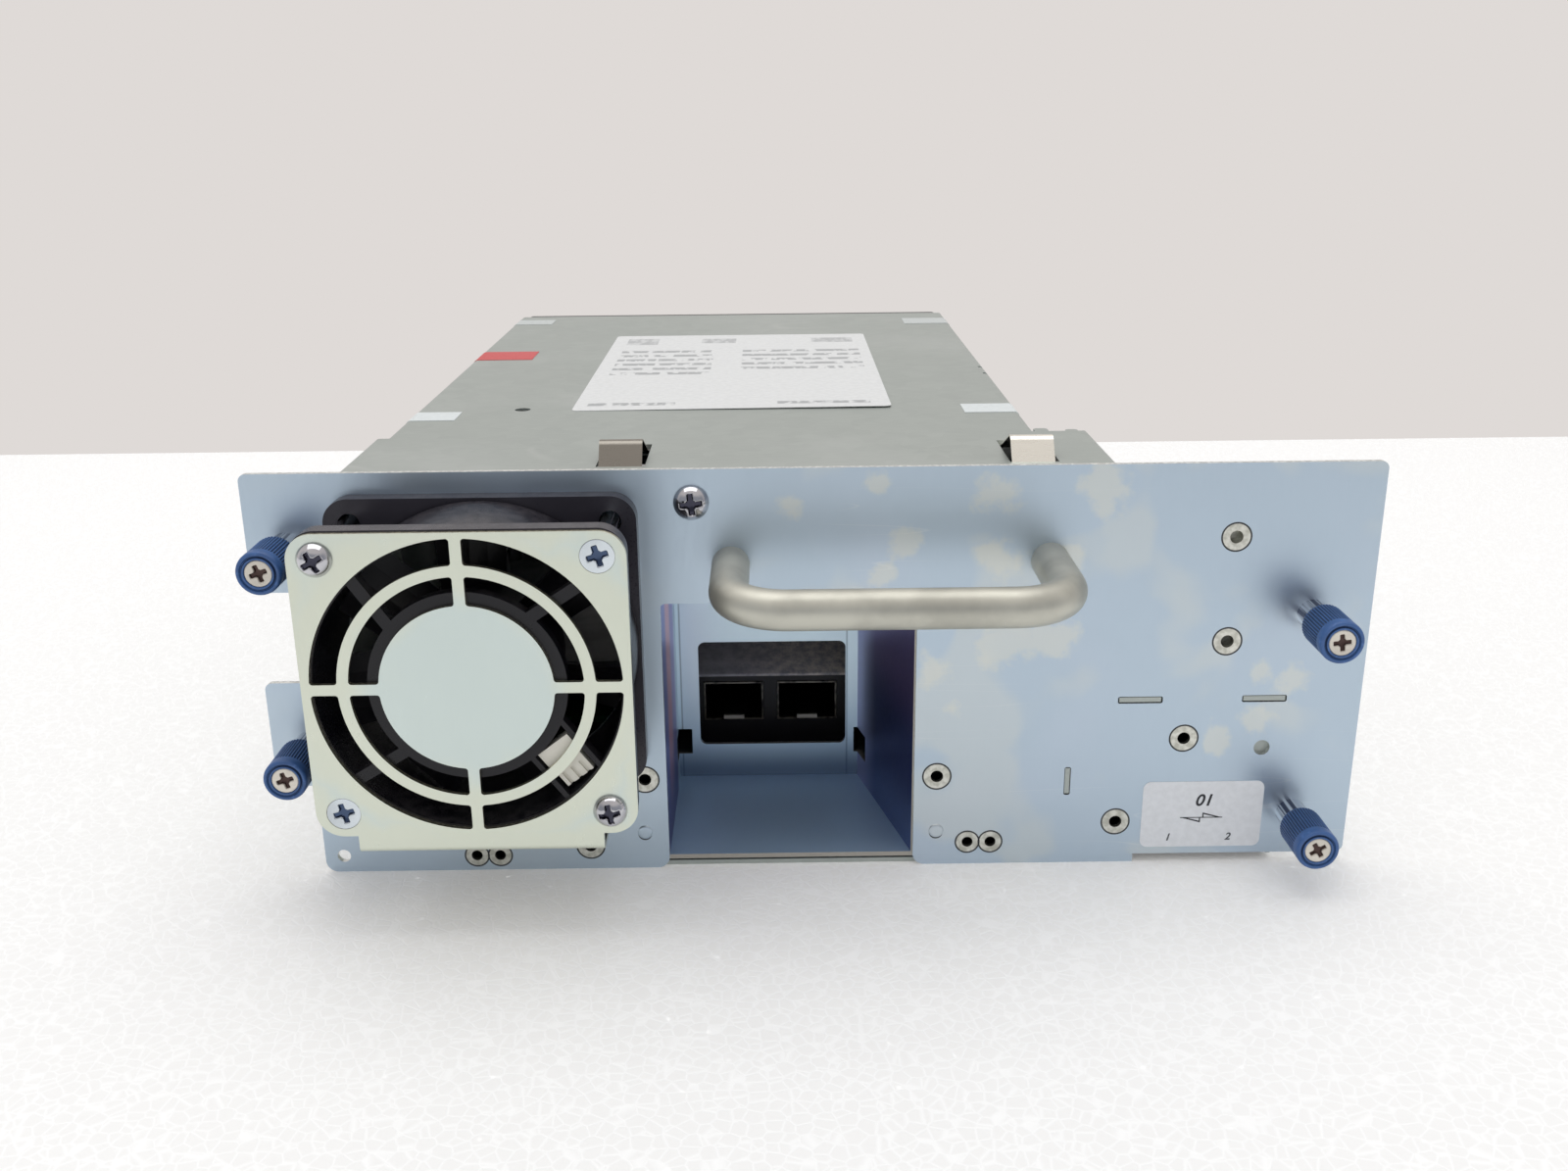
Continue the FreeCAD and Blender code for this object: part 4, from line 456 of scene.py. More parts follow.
def spring_steel(settings):
    """Bright spring strip with painted reflections: browner on the left clip and pale on the right one,
    and a painted highlight along the cut edges.
    """
    m = Finish("clip_steel")
    low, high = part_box("earthing_clips")
    middle = (low.x + high.x) / 2
    # painted reflection: each clip's tone stands in for what its face reflects
    tone = m.mix(m.band(m.axes(m.place)["X"], middle - 0.01, middle + 0.01), settings.clip_left_reflection,
                 settings.clip_right_reflection)
    # painted highlight along the clips' cut edges
    edge = m.use(edge_group(), Sheet_normal=(0, 0.9, 0.45))["Mask"]
    tone = m.mix(m.times(edge, 0.3), tone, rgb(226, 222, 212))
    return m.grained(tone, 0.24, 0.34, 0.03, 0.05, 1300.0, (0.12, 1.0, 1.0), 1.0)


def ferrule_chrome():
    """Fluted chrome with painted reflections: a noise drawn out along the axis gives a fluted bump and
    the same stripes painted dark and bright as reflections.
    """
    m = Finish("ferrule_chrome")
    flutes_and_reflections = {"scale": 1100.0, "stretch": (1, 0.02, 1)}
    height = m.use(grain_group(), Vector=m.place, Stretch=flutes_and_reflections["stretch"], Scale=flutes_and_reflections["scale"])["Height"]
    # painted reflection: dark and bright stripes in the base colour
    tone = m.mix(m.band(height, 0.42, 0.58), rgb(92, 96, 116), rgb(244, 246, 250))
    return m.grained(tone, 0.08, 0.2, 0.7, 0.1, metal=1.0, **flutes_and_reflections)


def stud_steel():
    """Plated studs with painted shade in their bores, darker with depth; the two upper right ones get
    less of it and stay light inside.
    """
    m = Finish("stud_steel")
    across, depth, height = m.axes(m.place)
    # painted shade: a bore's colour darkens past 0.7 mm deep, less in the two upper right studs
    bore = m.band(depth, FACE + 0.7 * MM, FACE + 1.3 * MM)
    light = m.times(m.band(across, 79 * MM, 80 * MM), m.band(height, 45 * MM, 62 * MM, 0.45, 0.9))
    dark = m.times(bore, m.math("SUBTRACT", 1.0, light), True)
    tone = m.mix(m.band(m.noise(m.place, 700.0, 3.0), 0.35, 0.65), rgb(186, 186, 176), rgb(220, 220, 212))
    return m.grained(m.mix(dark, tone, rgb(16, 16, 18)), 0.28, 0.4, 0.08, metal=0.95)


def cage_metal():
    """Cages painted dark past their front rims as the shade inside them, lighter and mottled at the
    rims, and a bright latch tongue.
    """
    m = Finish("cage_metal")
    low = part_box("port_cages")[0]
    depth, height = m.axes(m.place)[1:]
    # painted shade: dark deeper than 2 mm from the mouth, lighter and mottled at the front rim
    mouth = m.band(depth, low.y + 2.0 * MM, low.y + 1.2 * MM)
    worn = m.times(mouth, m.band(m.noise(m.place, 500.0, 3.0), 0.3, 0.6))
    tongue = m.times(m.band(depth, low.y + 0.75 * MM, low.y + 0.85 * MM, 1.0, 0.0),
                     m.band(height, low.z + 1.6 * MM, low.z + 1.7 * MM, 1.0, 0.0))
    tone = m.mix(tongue, m.mix(worn, rgb(30, 30, 33), rgb(112, 108, 100)), rgb(214, 212, 206))
    return m.grained(tone, 0.3, 0.42, 0.05, scale=1200.0, metal=0.8)


def circuit_board():
    """Green board with faint copper runs; what stands above its face is dark chip plastic."""
    m = Finish("board_finish")
    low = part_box("main_board")[0]
    runs = m.put("ShaderNodeTexBrick", Vector=m.place, Scale=160.0, Mortar_Size=0.012, Color1=rgb(20, 74, 44),
                 Color2=rgb(24, 84, 50), Mortar=rgb(58, 122, 76)).outputs["Color"]
    chip = m.band(m.axes(m.place)["Z"], low.z + 1.75 * MM, low.z + 1.85 * MM)
    return m.grained(m.mix(chip, runs, rgb(30, 31, 34)), 0.3, 0.42, 0.08)


def fan_housing():
    """Glossy moulding, painted near black in the bore as shade, greyer and dusty outside it."""
    m = Finish("fan_housing_plastic")
    low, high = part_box("fan_frame")
    middle = ((low.x + high.x) / 2, 0.0, (low.z + high.z) / 2)
    away = m.vector("DISTANCE", m.flattened(), middle)["Value"]
    shell = m.mix(m.band(m.noise(m.place, 60.0, 3.0), 0.35, 0.65), rgb(46, 44, 52), rgb(58, 56, 64))
    # painted shade: near black inside the bore's radius
    tone = m.mix(m.band(away, 0.0285, 0.0305), rgb(18, 18, 24), shell)
    tone = m.use(dust_group(), Color=tone, Dust=rgb(96, 92, 96), Amount=0.3)["Color"]
    m.shader.inputs["Specular IOR Level"].default_value = 0.35
    return m.grained(tone, 0.24, 0.36, 0.12, 0.06, 2600.0)


def bezel_plastic():
    """Black moulding whose sloping faces carry grey dust and painted light, paler towards its right
    end.
    """
    m = Finish("port_bezel_plastic")
    low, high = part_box("port_bezel")
    across = m.band(m.axes(m.place)["X"], low.x + 4 * MM, high.x - 8 * MM)
    speck = m.band(m.noise(m.place, 420.0, 5.0, Roughness=0.7), 0.3, 0.7)
    # dust and painted light: faces sloping up and down are lightened, both as dust and for the light they
    # catch
    dust = m.mix(speck, rgb(150, 150, 160), m.mix(across, rgb(176, 176, 186), rgb(228, 222, 214)))
    settled = m.math("ABSOLUTE", m.axes(m.normal)["Z"])
    tone = m.mix(m.band(settled, 0.12, 0.4), rgb(17, 17, 22), dust)
    return m.grained(tone, 0.42, 0.55, 0.1, 0.06, 2400.0)


def knob_nylon(blue):
    """Blue nylon with rubbed ridges, painted shade in the ridge valleys and face groove, and a soft
    moulded grain.
    """
    m = Finish("knob_nylon")
    tone = m.mix(m.band(m.noise(m.place, 240.0, 3.0), 0.3, 0.7), dimmed(blue, 0.8), blue)
    rubbed = m.band(m.noise(m.place, 900.0, 4.0), 0.55, 0.75)
    pale = tuple(min(1.0, c * 1.5 + 0.03) for c in blue[:3]) + (1.0,)
    tone = m.mix(m.times(rubbed, 0.5), tone, pale)
    return m.grained(recessed(m, tone, dimmed(blue, 0.34)), 0.38, 0.5, 0.15, 0.04, 2600.0)


def paper(name, colour, ruled=None):
    """Label stock with a faint fibre; ruled adds soft grey blocks of lines, with no words."""
    m = Finish(name)
    tone = m.mix(m.band(m.noise(m.place, 700.0, 4.0), 0.3, 0.7), dimmed(colour, 0.93), colour)
    if ruled:
        tone = ruled(m, tone)
    return m.grained(tone, 0.4, 0.5, 0.05, 0.04, 1200.0)


def ruled_rows(m, tone):
    """Soft grey dashes along x, in rows 7.2 mm apart: two blocks in the label's far half, a row of
    heavier marks beyond them and a thin row along the near edge. Long noise cells break the rows."""
    across, depth = m.axes(m.place)[:2]

    def patch(x0, x1, y0, y1):
        within = m.times(m.band(across, x0 * MM, (x0 + 0.4) * MM),
                         m.band(across, (x1 - 0.4) * MM, x1 * MM, 1.0, 0.0))
        along = m.times(m.band(depth, FACE + y0 * MM, FACE + (y0 + 0.6) * MM),
                        m.band(depth, FACE + (y1 - 0.6) * MM, FACE + y1 * MM, 1.0, 0.0))
        return m.times(within, along)

    row = m.math("FRACT", m.times(depth, 1000 / 7.2))
    thin = m.times(m.band(row, 0.3, 0.42), m.band(row, 0.78, 0.9, 1.0, 0.0))
    long_cells = m.put("ShaderNodeMapping", Vector=m.place, Scale=(420.0, 139.0, 1.0)).outputs[0]
    words = m.noise(long_cells, 1.0, 2.0)
    blocks = m.plus(patch(-53, -25, 124, 168), patch(-17, 18, 129, 166))
    lines = m.times(m.times(thin, m.band(words, 0.4, 0.52)), blocks)
    marks = m.plus(patch(-53, -43, 176, 188), m.plus(patch(-30, -19, 178, 187), patch(4, 17, 178, 187)))
    marks = m.times(marks, m.band(words, 0.35, 0.6, 0.35, 0.8))
    edge = m.plus(patch(-54, -32, 83, 87), patch(-7, 16.5, 83, 87))
    ink = m.most(m.most(lines, marks), m.times(edge, m.band(words, 0.35, 0.55)))
    return m.mix(m.times(ink, 0.6, True), tone, rgb(112, 116, 120))


def dress(material, *nodes):
    """Gives CAD nodes a finish."""
    for name in nodes:
        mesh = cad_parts[name].data
        mesh.materials.clear()
        mesh.materials.append(material)


# ---- settings ---------------------------------------------------------------
def colour_setting(name, description, value):
    return FloatVectorProperty(name=name, description=description, default=value, size=4, min=0, max=1,
                               subtype="COLOR")


class StageSettings(bpy.types.PropertyGroup):
    camera_place: FloatVectorProperty(name="Camera place", description="Where the camera stands",
                                      default=(-0.00763, -0.381895, 0.15381), unit="LENGTH", subtype="XYZ")
    camera_turn: FloatVectorProperty(name="Camera turn", description="Camera's pitch, roll and heading",
                                     default=(1.247613, 0.00992, -0.008861), unit="ROTATION", subtype="EULER")
    lens: FloatProperty(name="Lens", description="Focal length in millimetres on a 36 mm sensor",
                        default=33.59, min=10, max=200)
    floor_colour: colour_setting("Floor", "Colour of the floor", rgb(240, 239, 238))
    floor_lift: FloatProperty(name="Floor lift", default=0.16, min=0, max=1,
                              description="Light that the floor adds for the camera and in gloss")
    wall_colour: colour_setting("Wall", "Tone of the wall behind and of the room in glossy metal",
                                rgb(223, 218, 215))
    room_dark: colour_setting("Room", "Dim front of the room, as glossy metal shows it", rgb(166, 168, 174))
    sky_light: FloatProperty(name="Room light", description="Strength of the even light from all round",
                             default=0.72, min=0, max=5)
    lamp_power: FloatProperty(name="Ceiling lamp", description="Power of the soft lamp overhead", default=6.0,
                              min=0, max=500, unit="POWER")


class MetalSettings(bpy.types.PropertyGroup):
    zinc: colour_setting("Panel zinc", "Main tone of the panel's plating", rgb(188, 204, 218))
    zinc_patch: colour_setting("Panel patches", "Straw-coloured patches in the plating", rgb(222, 222, 211))
    zinc_veil: colour_setting("Panel veil", "Lilac veil in the plating", rgb(200, 210, 226))
    guard: colour_setting("Guard zinc", "Main tone of the fan guard", rgb(205, 217, 214))
    cover: colour_setting("Cover", "Galvanised sheet of the covers", rgb(180, 187, 183))
    # painted reflections: the two clip tones stand in for what each clip reflects
    clip_left_reflection: colour_setting("Left clip", "Tone of the left earthing clip", rgb(78, 71, 64))
    clip_right_reflection: colour_setting("Right clip", "Tone of the right earthing clip", rgb(240, 238, 229))
    handle: colour_setting("Handle", "Satin plating of the pull handle", rgb(202, 201, 190))


class KnobSettings(bpy.types.PropertyGroup):
    blue: colour_setting("Knob", "Dyed knob", rgb(62, 100, 158))
    ridges: IntProperty(name="Ridges", description="Ridges round a knob", default=46, min=12, max=80)


class LabelSettings(bpy.types.PropertyGroup):
    paper_white: colour_setting("Paper", "White label stock", rgb(226, 227, 227))
    panel_label: colour_setting("Panel label", "Stock of the panel's label", rgb(238, 241, 246))
    red: colour_setting("Red tab", "Red marker tab", rgb(206, 72, 74))
    tape: colour_setting("Tape", "White tape tabs", rgb(222, 228, 229))
    worn_tape: colour_setting("Worn tape", "Tape tabs at the far end", rgb(198, 203, 202))
    curl: FloatProperty(name="Curl", description="Height of the lifted label corner", default=0.0004, min=0,
                        max=0.005, unit="LENGTH")


class DriveSettings(bpy.types.PropertyGroup):
    stage: PointerProperty(type=StageSettings)
    metal: PointerProperty(type=MetalSettings)
    knobs: PointerProperty(type=KnobSettings)
    labels: PointerProperty(type=LabelSettings)


def settings_of(context):
    return context.scene.drive_settings


# ---- stage ------------------------------------------------------------------
class DRIVE_OT_stage(bpy.types.Operator):
    """Foam-board floor, room light, ceiling lamp and camera"""
    bl_idname = "drive.stage"
    bl_label = "Stage"

    def execute(self, context):
        values = settings_of(context).stage
        scene = context.scene
        scene.view_settings.view_transform = "Standard"
        self.floor(values)
        self.room(scene, values)
        lamp = bpy.data.lights.new("ceiling_lamp", "AREA")
        lamp.shape = "RECTANGLE"
        lamp.size, lamp.size_y = 1.4, 0.9
        lamp.energy = values.lamp_power
        hung = bpy.data.objects.new("ceiling_lamp", lamp)
        hung.location = (-0.1, 0.12, 1.25)
        scene.collection.objects.link(hung)
        view = bpy.data.cameras.new("camera")
        view.lens = values.lens
        view.sensor_width = 36.0
        view.clip_start = 0.01
        camera = bpy.data.objects.new("camera", view)
        camera.location = values.camera_place
        camera.rotation_euler = values.camera_turn
        scene.collection.objects.link(camera)
        scene.camera = camera
        return {"FINISHED"}

    def floor(self, values):
        """A flat board that ends at the back wall, white, with the beads of pressed foam and a few
        glints. It adds a little of its own light to what the camera sees of it."""
        m = Finish("foam_board")
        cells = m.put("ShaderNodeTexVoronoi", {"feature": "DISTANCE_TO_EDGE"}, Vector=m.place, Scale=390.0,
                      Randomness=0.85).outputs["Distance"]
        bead = m.band(cells, 0.0, 0.12, 0.45, 1.0)
        m.link(m.mix(bead, WHITE, dimmed(values.floor_colour, 0.985)), m.shader.inputs["Base Color"])
        m.shader.inputs["Roughness"].default_value = 0.55
        m.raised(m.plus(bead, m.times(m.noise(m.place, 900.0, 3.0), 0.25)), 0.25, 0.3)
        sparse = m.put("ShaderNodeTexVoronoi", {"feature": "F1"}, Vector=m.place, Scale=260.0).outputs
        chosen = m.band(m.put("ShaderNodeRGBToBW", Color=sparse["Color"]).outputs[0], 0.74, 0.78)
        glint = m.times(chosen, m.band(sparse["Distance"], 0.05, 0.16, 0.2, 0.0))
        lift = m.put("ShaderNodeEmission", Color=values.floor_colour,
                     Strength=m.times(m.direct(), m.plus(glint, values.floor_lift)))
        lifted = m.put("ShaderNodeAddShader", i0=m.shader.outputs[0], i1=lift.outputs[0])
        m.link(lifted.outputs[0], m.output.inputs[0])
        corners = [(-FLOOR_REACH, -FLOOR_REACH, FOOT), (FLOOR_REACH, -FLOOR_REACH, FOOT),
                   (FLOOR_REACH, FLOOR_END, FOOT), (-FLOOR_REACH, FLOOR_END, FOOT)]
        mesh = bpy.data.meshes.new("floor")
        mesh.from_pydata(corners, [], [(0, 1, 2, 3)])
        mesh.materials.append(m.material)
        board = bpy.data.objects.new("floor", mesh)
        bpy.context.scene.collection.objects.link(board)

    def room(self, scene, values):
        """Even light from all round. The camera sees the wall's tone; glossy metal sees it too, but a
        dimmer room in front and above, which gives its curves a light and a dark side."""
        scene.world = bpy.data.worlds.new("room")
        scene.world.use_nodes = True
        net = Wiring(scene.world.node_tree)
        net.tree.nodes.clear()
        light = net.put("ShaderNodeBackground", Color=WHITE, Strength=values.sky_light)
        way = net.axes(net.put("ShaderNodeTexCoord").outputs["Generated"])
        glossy = net.put("ShaderNodeLightPath").outputs["Is Glossy Ray"]
        ahead = net.times(net.band(way["Y"], 0.25, -0.35), glossy)
        dim = net.times(ahead, net.band(way["Z"], 0.75, 0.35))
        wall = net.put("ShaderNodeBackground", Color=net.mix(dim, values.wall_colour, values.room_dark),
                       Strength=1.0)
        both = net.put("ShaderNodeMixShader", i0=net.direct(), i1=light.outputs[0], i2=wall.outputs[0])
        net.put("ShaderNodeOutputWorld", Surface=both.outputs[0])


# ---- sheet metal ------------------------------------------------------------
class DRIVE_OT_sheet_metal(bpy.types.Operator):
    """Zinc-plated panel, pocket and fan guard, and the galvanised covers"""
    bl_idname = "drive.sheet_metal"
    bl_label = "Sheet metal"

    def execute(self, context):
        metal = settings_of(context).metal
        dress(plated_sheet("panel_zinc", metal.zinc, metal.zinc_patch, metal.zinc_veil, 0.3, 52.0, 0.34, 0.42,
                           stains=self.stained, spread=self.right_half), "mounting_panel")
        dress(pocket_zinc(), "port_pocket")
        dress(plated_sheet("guard_zinc", metal.guard, rgb(216, 220, 204), rgb(208, 222, 220), 0.35, 26.0,
                           edge=rgb(244, 238, 212), stains=self.rimmed), "fan_guard")
        dress(galvanised("cover_sheet", metal.cover, rgb(150, 157, 155)), "top_cover", "sled_tray",
              "docking_bracket")
        return {"FINISHED"}

    def right_half(self, m):
        """Full from the pull handle to the right end, a fifth of that left of the port pocket."""
        return m.band(m.axes(m.place)["X"], -30 * MM, 0.0, 0.2, 1.0)

    def stained(self, m):
        """1 less the distance to a stain's middle over its radius, the largest of them all, plus a
        noise that frays the border, cut at a soft level."""
        flat = m.flattened()
        near = -1.0
        for x, z, radius in STAINS:
            away = m.vector("DISTANCE", flat, (x * MM, 0.0, z * MM))["Value"]
            near = m.most(near, m.math("SUBTRACT", 1.0, m.times(away, 1000 / radius)))
        fray = m.noise(m.place, 105.0, 4.0, Roughness=0.6)
        return m.times(m.band(m.plus(near, m.times(fray, 3.0)), 1.6, 2.15), 0.52)

    def rimmed(self, m):
        """Straw tint of the guard: on the ring between its slots, where the distance from its middle
        is near 25 mm, and along its borders. A noise frays both."""
        low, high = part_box("fan_guard")
        middle = ((low.x + high.x) / 2, 0.0, (low.z + high.z) / 2 + 0.002)
        shift = m.vector("SUBTRACT", m.flattened(), middle)[0]
        sides = m.axes(shift)
        out = m.most(m.math("ABSOLUTE", sides["X"]), m.math("ABSOLUTE", sides["Z"]))
        fray = m.times(m.math("SUBTRACT", m.noise(m.place, 80.0, 3.0), 0.5), 0.016)
        far = m.plus(m.vector("LENGTH", shift)["Value"], fray)
        ring = m.times(m.band(far, 0.014, 0.022), m.band(far, 0.03, 0.037, 1.0, 0.0))
        border = m.band(m.plus(out, fray), 0.025, 0.031)
        return m.times(m.most(ring, border), 0.85)


# ---- small metal ------------------------------------------------------------
class DRIVE_OT_hardware(bpy.types.Operator):
    """Pull handle, earthing clips, ferrules, springs, studs and screws"""
    bl_idname = "drive.hardware"
    bl_label = "Hardware"

    def execute(self, context):
        metal = settings_of(context).metal
        satin = machined("satin_handle", metal.handle, 0.4, 0.5, (0.25, 1, 1), 1800.0, 0.05, 0.75)
        dress(satin, "pull_handle")
        dress(spring_steel(metal), "earthing_clips")
        dress(ferrule_chrome(), "screw_ferrules")
        dress(stud_steel(), "clinch_studs")
        wire = machined("spring_wire", rgb(190, 190, 192), 0.25, 0.35)
        for number in range(1, 5):
            self.spring("knob_spring_%d" % number, wire, "thumbscrew_%d_press" % number)
        # painted shade: the screw heads' crosses are darkened where they are deep
        zinc = machined("screw_zinc", rgb(214, 222, 228), 0.12, 0.22, strength=0.04,
                        recess_shade_tone=rgb(74, 88, 114))
        dress(zinc, "handle_screws", "side_screws")
        nickel = machined("captive_nickel", rgb(228, 222, 211), 0.4, 0.5, metal=0.7,
                          recess_shade_tone=rgb(88, 70, 66))
        for number, turn in enumerate(CAPTIVE_TURNS, 1):
            node = "captive_screw_%d" % number
            self.replaced(node, [self.captive(node, turn)], nickel, "thumbscrew_%d_turn" % number)
        dome = machined("dome_zinc", rgb(198, 198, 203), 0.08, 0.16, strength=0.04, recess_shade_tone=rgb(66, 66, 78))
        r = GUARD_HEAD / 2
        for node, headed, rise, material, corners in (
                ("guard_flat_screws", self.flat, 0.0, zinc, ((1, 1, 0.3), (0, 0, 0.25))),
                ("guard_pan_screws", self.pan, PAN_RISE, dome, ((0, 1, 0.5), (1, 0, 0.2)))):
            low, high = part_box(node)
            across, up = (low.x + r, high.x - r), (low.z + r, high.z - r)
            length = (high.y - low.y - rise) / MM
            self.replaced(node, [headed((across[i], low.y + rise, up[k]), GUARD_HEAD / MM, 3.5, length, turn)
                                 for i, k, turn in corners], material)
        (x, y, z), radius, length = front_of("panel_screw")
        single = self.pan((x, y + PAN_RISE, z), 2 * radius, 3.0, length - PAN_RISE / MM, 0.1)
        self.replaced("panel_screw", [single], dome)
        return {"FINISHED"}

    def spring(self, node, material, joint):
        """Round wire along a helix: a point is the helix's place at t plus half a wire's thickness, turned
        by a between outwards and along the axis; the thickness falls to nothing at both ends. The joint
        is not used."""
        (x, y, z), radius, length = front_of(node)
        half = SPRING_WIRE
        t = np.linspace(0, 1, SPRING_TURNS * 32 + 1)[:, None]
        a = np.linspace(0, 2 * np.pi, 8, endpoint=False)[None, :]
        thick = half * np.minimum(1, 40 * np.minimum(t, 1 - t))
        angle = 2 * np.pi * SPRING_TURNS * t
        out = radius - half + thick * np.cos(a)
        along = half + (length - 2 * half) * t + thick * np.sin(a)
        points = np.stack([out * np.cos(angle), along, out * np.sin(angle)], -1).reshape(-1, 3) * MM
        faces = grid_faces(len(t), 8, wrap=True)
        piece = show("coiled_" + node, points + np.array((x, y, z)), faces, material)
        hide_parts(node)
        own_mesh(piece)

    def replaced(self, node, screws, material, body="chassis"):
        """One piece made of (points, faces, deep) screws that takes a CAD node's place."""
        points, faces = merged([(p, f) for p, f, deep in screws])
        depths = np.concatenate([deep for p, f, deep in screws])
        piece = show("headed_" + node, points, faces, material, body, deep=depths)
        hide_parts(node)

    def crossed(self, head, body, centre, reach, depth, turn):
        """Profile turned round the axis, with a cross sunk in its head: a point lies ``along`` the nearer
        arm and ``across`` from that arm's middle line. Its share of the depth is a smooth step of how far
        it is inside the arm or inside the round middle, and the floor rises with the square of along."""
        segments = 96
        points, faces = turned(head + body, centre, segments)
        grid = points.reshape(-1, segments, 3)
        u = grid[..., 0] - centre[0]
        v = grid[..., 2] - centre[2]
        a = np.abs(u * np.cos(turn) + v * np.sin(turn))
        b = np.abs(v * np.cos(turn) - u * np.sin(turn))
        along, across = np.maximum(a, b) / MM, np.minimum(a, b) / MM
        soft = 0.16

        def within(limit, value):
            return np.clip((limit - value) / soft + 0.5, 0, 1)

        arm = within(0.25 * reach, across) * within(reach, along)
        inside = np.maximum(arm, within(0.5 * reach, np.hypot(u, v) / MM))
        share = inside * inside * (3 - 2 * inside)
        share[len(head):] = 0.0
        grid[..., 1] += share * depth * MM * (1 - 0.45 * np.minimum(along / reach, 1) ** 2)
        return points, faces, share.ravel()

    def captive(self, node, turn):
        """Flat chamfered head on a thin neck, then the thread's full diameter."""
        centre, r, end = front_of(node)
        head = [(a, 0.0) for a in np.linspace(0.001, r - 0.2, 24)]
        body = [(r - 0.06, 0.05), (r, 0.16), (r, 1.85), (1.2, 1.85), (1.2, end - THREAD_LENGTH),
                (1.5, end - THREAD_LENGTH), (1.5, end - 0.4), (1.1, end), (0.001, end)]
        return self.crossed(head, body, centre, 0.64 * r, 0.9, turn)

    def pan(self, seat, head, shank, length, turn):
        """Domed head: its height falls off as the 3.4th power of the radius, to a fifth at the rim."""
        r = head / 2
        dome = [(a, PAN_RISE / MM * (0.8 * (a / r) ** 3.4 - 1)) for a in np.linspace(0.001, r, 28)]
        body = [(r, 0.0), (shank / 2, 0.0), (shank / 2, length), (0.001, length)]
        return self.crossed(dome, body, seat, 0.62 * r, 1.3, turn)

    def flat(self, seat, head, shank, length, turn):
        """Countersunk head flush with its sheet, with a hair of rounding at the rim."""
        r = head / 2
        face = [(a, 0.0) for a in np.linspace(0.001, r - 0.15, 26)]
        body = [(r - 0.04, 0.03), (r, 0.12), (r, 0.25), (shank / 2, 1.0), (shank / 2, length),
                (0.001, length)]
        return self.crossed(face, body, seat, 0.62 * r, 0.9, turn)


# ---- fan --------------------------------------------------------------------
class DRIVE_OT_fan(bpy.types.Operator):
    """Fan housing, impeller, motor and its plug"""
    bl_idname = "drive.fan"
    bl_label = "Fan"

    def execute(self, context):
        dress(fan_housing(), "fan_frame")
        rotor = moulded("rotor_plastic", rgb(20, 20, 25), 0.3, 0.42, 0.15, dust_tone=rgb(70, 68, 72))
        dress(rotor, "fan_rotor")
        dress(machined("motor_copper", rgb(176, 112, 70), 0.35, 0.5), "fan_stator")
        dress(moulded("header_nylon", rgb(226, 224, 214), 0.35, 0.45, 0.1), "fan_header", "fan_plug")
        return {"FINISHED"}


# ---- ports and boards -------------------------------------------------------
class DRIVE_OT_ports(bpy.types.Operator):
    """Port bezel, cages, slot bezel, rear connector and the boards"""
    bl_idname = "drive.ports"
    bl_label = "Ports and boards"

    def execute(self, context):
        dress(bezel_plastic(), "port_bezel")
        dress(moulded("slot_bezel_plastic", rgb(40, 41, 44), 0.36, 0.48, 0.1), "slot_bezel",
              "docking_connector")
        dress(cage_metal(), "port_cages")
        dress(circuit_board(), "main_board")
        dress(moulded("natural_nylon", rgb(226, 222, 208), 0.4, 0.5, 0.1), "board_standoffs")
        return {"FINISHED"}


# ---- mechanism --------------------------------------------------------------
class DRIVE_OT_mechanism(bpy.types.Operator):
    """Finishes of the tape path, reels, carriage and gears inside the covers"""
    bl_idname = "drive.mechanism"
    bl_label = "Mechanism"

    def execute(self, context):
        dress(machined("cast_alloy", rgb(176, 178, 180), 0.4, 0.55, scale=700.0, strength=0.2),
              "deck_casting", "head_bridge", "head_carriage")
        dress(machined("ground_pins", rgb(206, 207, 209), 0.15, 0.25, (1, 1, 4)), "deck_posts", "lead_screw")
        dress(machined("motor_cans", rgb(150, 152, 156), 0.28, 0.4, (1, 1, 0.2)), "drive_motors",
              "head_actuator", "reel_motors")
        dress(moulded("reel_plastic", rgb(186, 188, 190), 0.34, 0.46, 0.1), "takeup_reel", "supply_chuck")
        dress(machined("roller_alloy", rgb(214, 216, 220), 0.12, 0.2, (1, 1, 6)),
              *["guide_roller_%d" % number for number in range(1, 5)])
        dress(moulded("head_ceramic", rgb(96, 92, 88), 0.16, 0.26, 0.05, 0.04), "tape_head")
        dress(galvanised("carriage_steel", rgb(190, 192, 192), rgb(162, 166, 168), 0.3, 0.42),
              "cartridge_carriage")
        dress(moulded("rail_plastic", rgb(52, 53, 57), 0.34, 0.46, 0.15), "carriage_rails")
        dress(moulded("gear_acetal", rgb(232, 230, 220), 0.3, 0.4, 0.08), "loader_gear", "loader_pinion",
              "thread_pinion")
        dress(moulded("arm_plastic", rgb(96, 112, 130), 0.36, 0.46, 0.12), "grabber_arm", "grabber_claw")
        return {"FINISHED"}


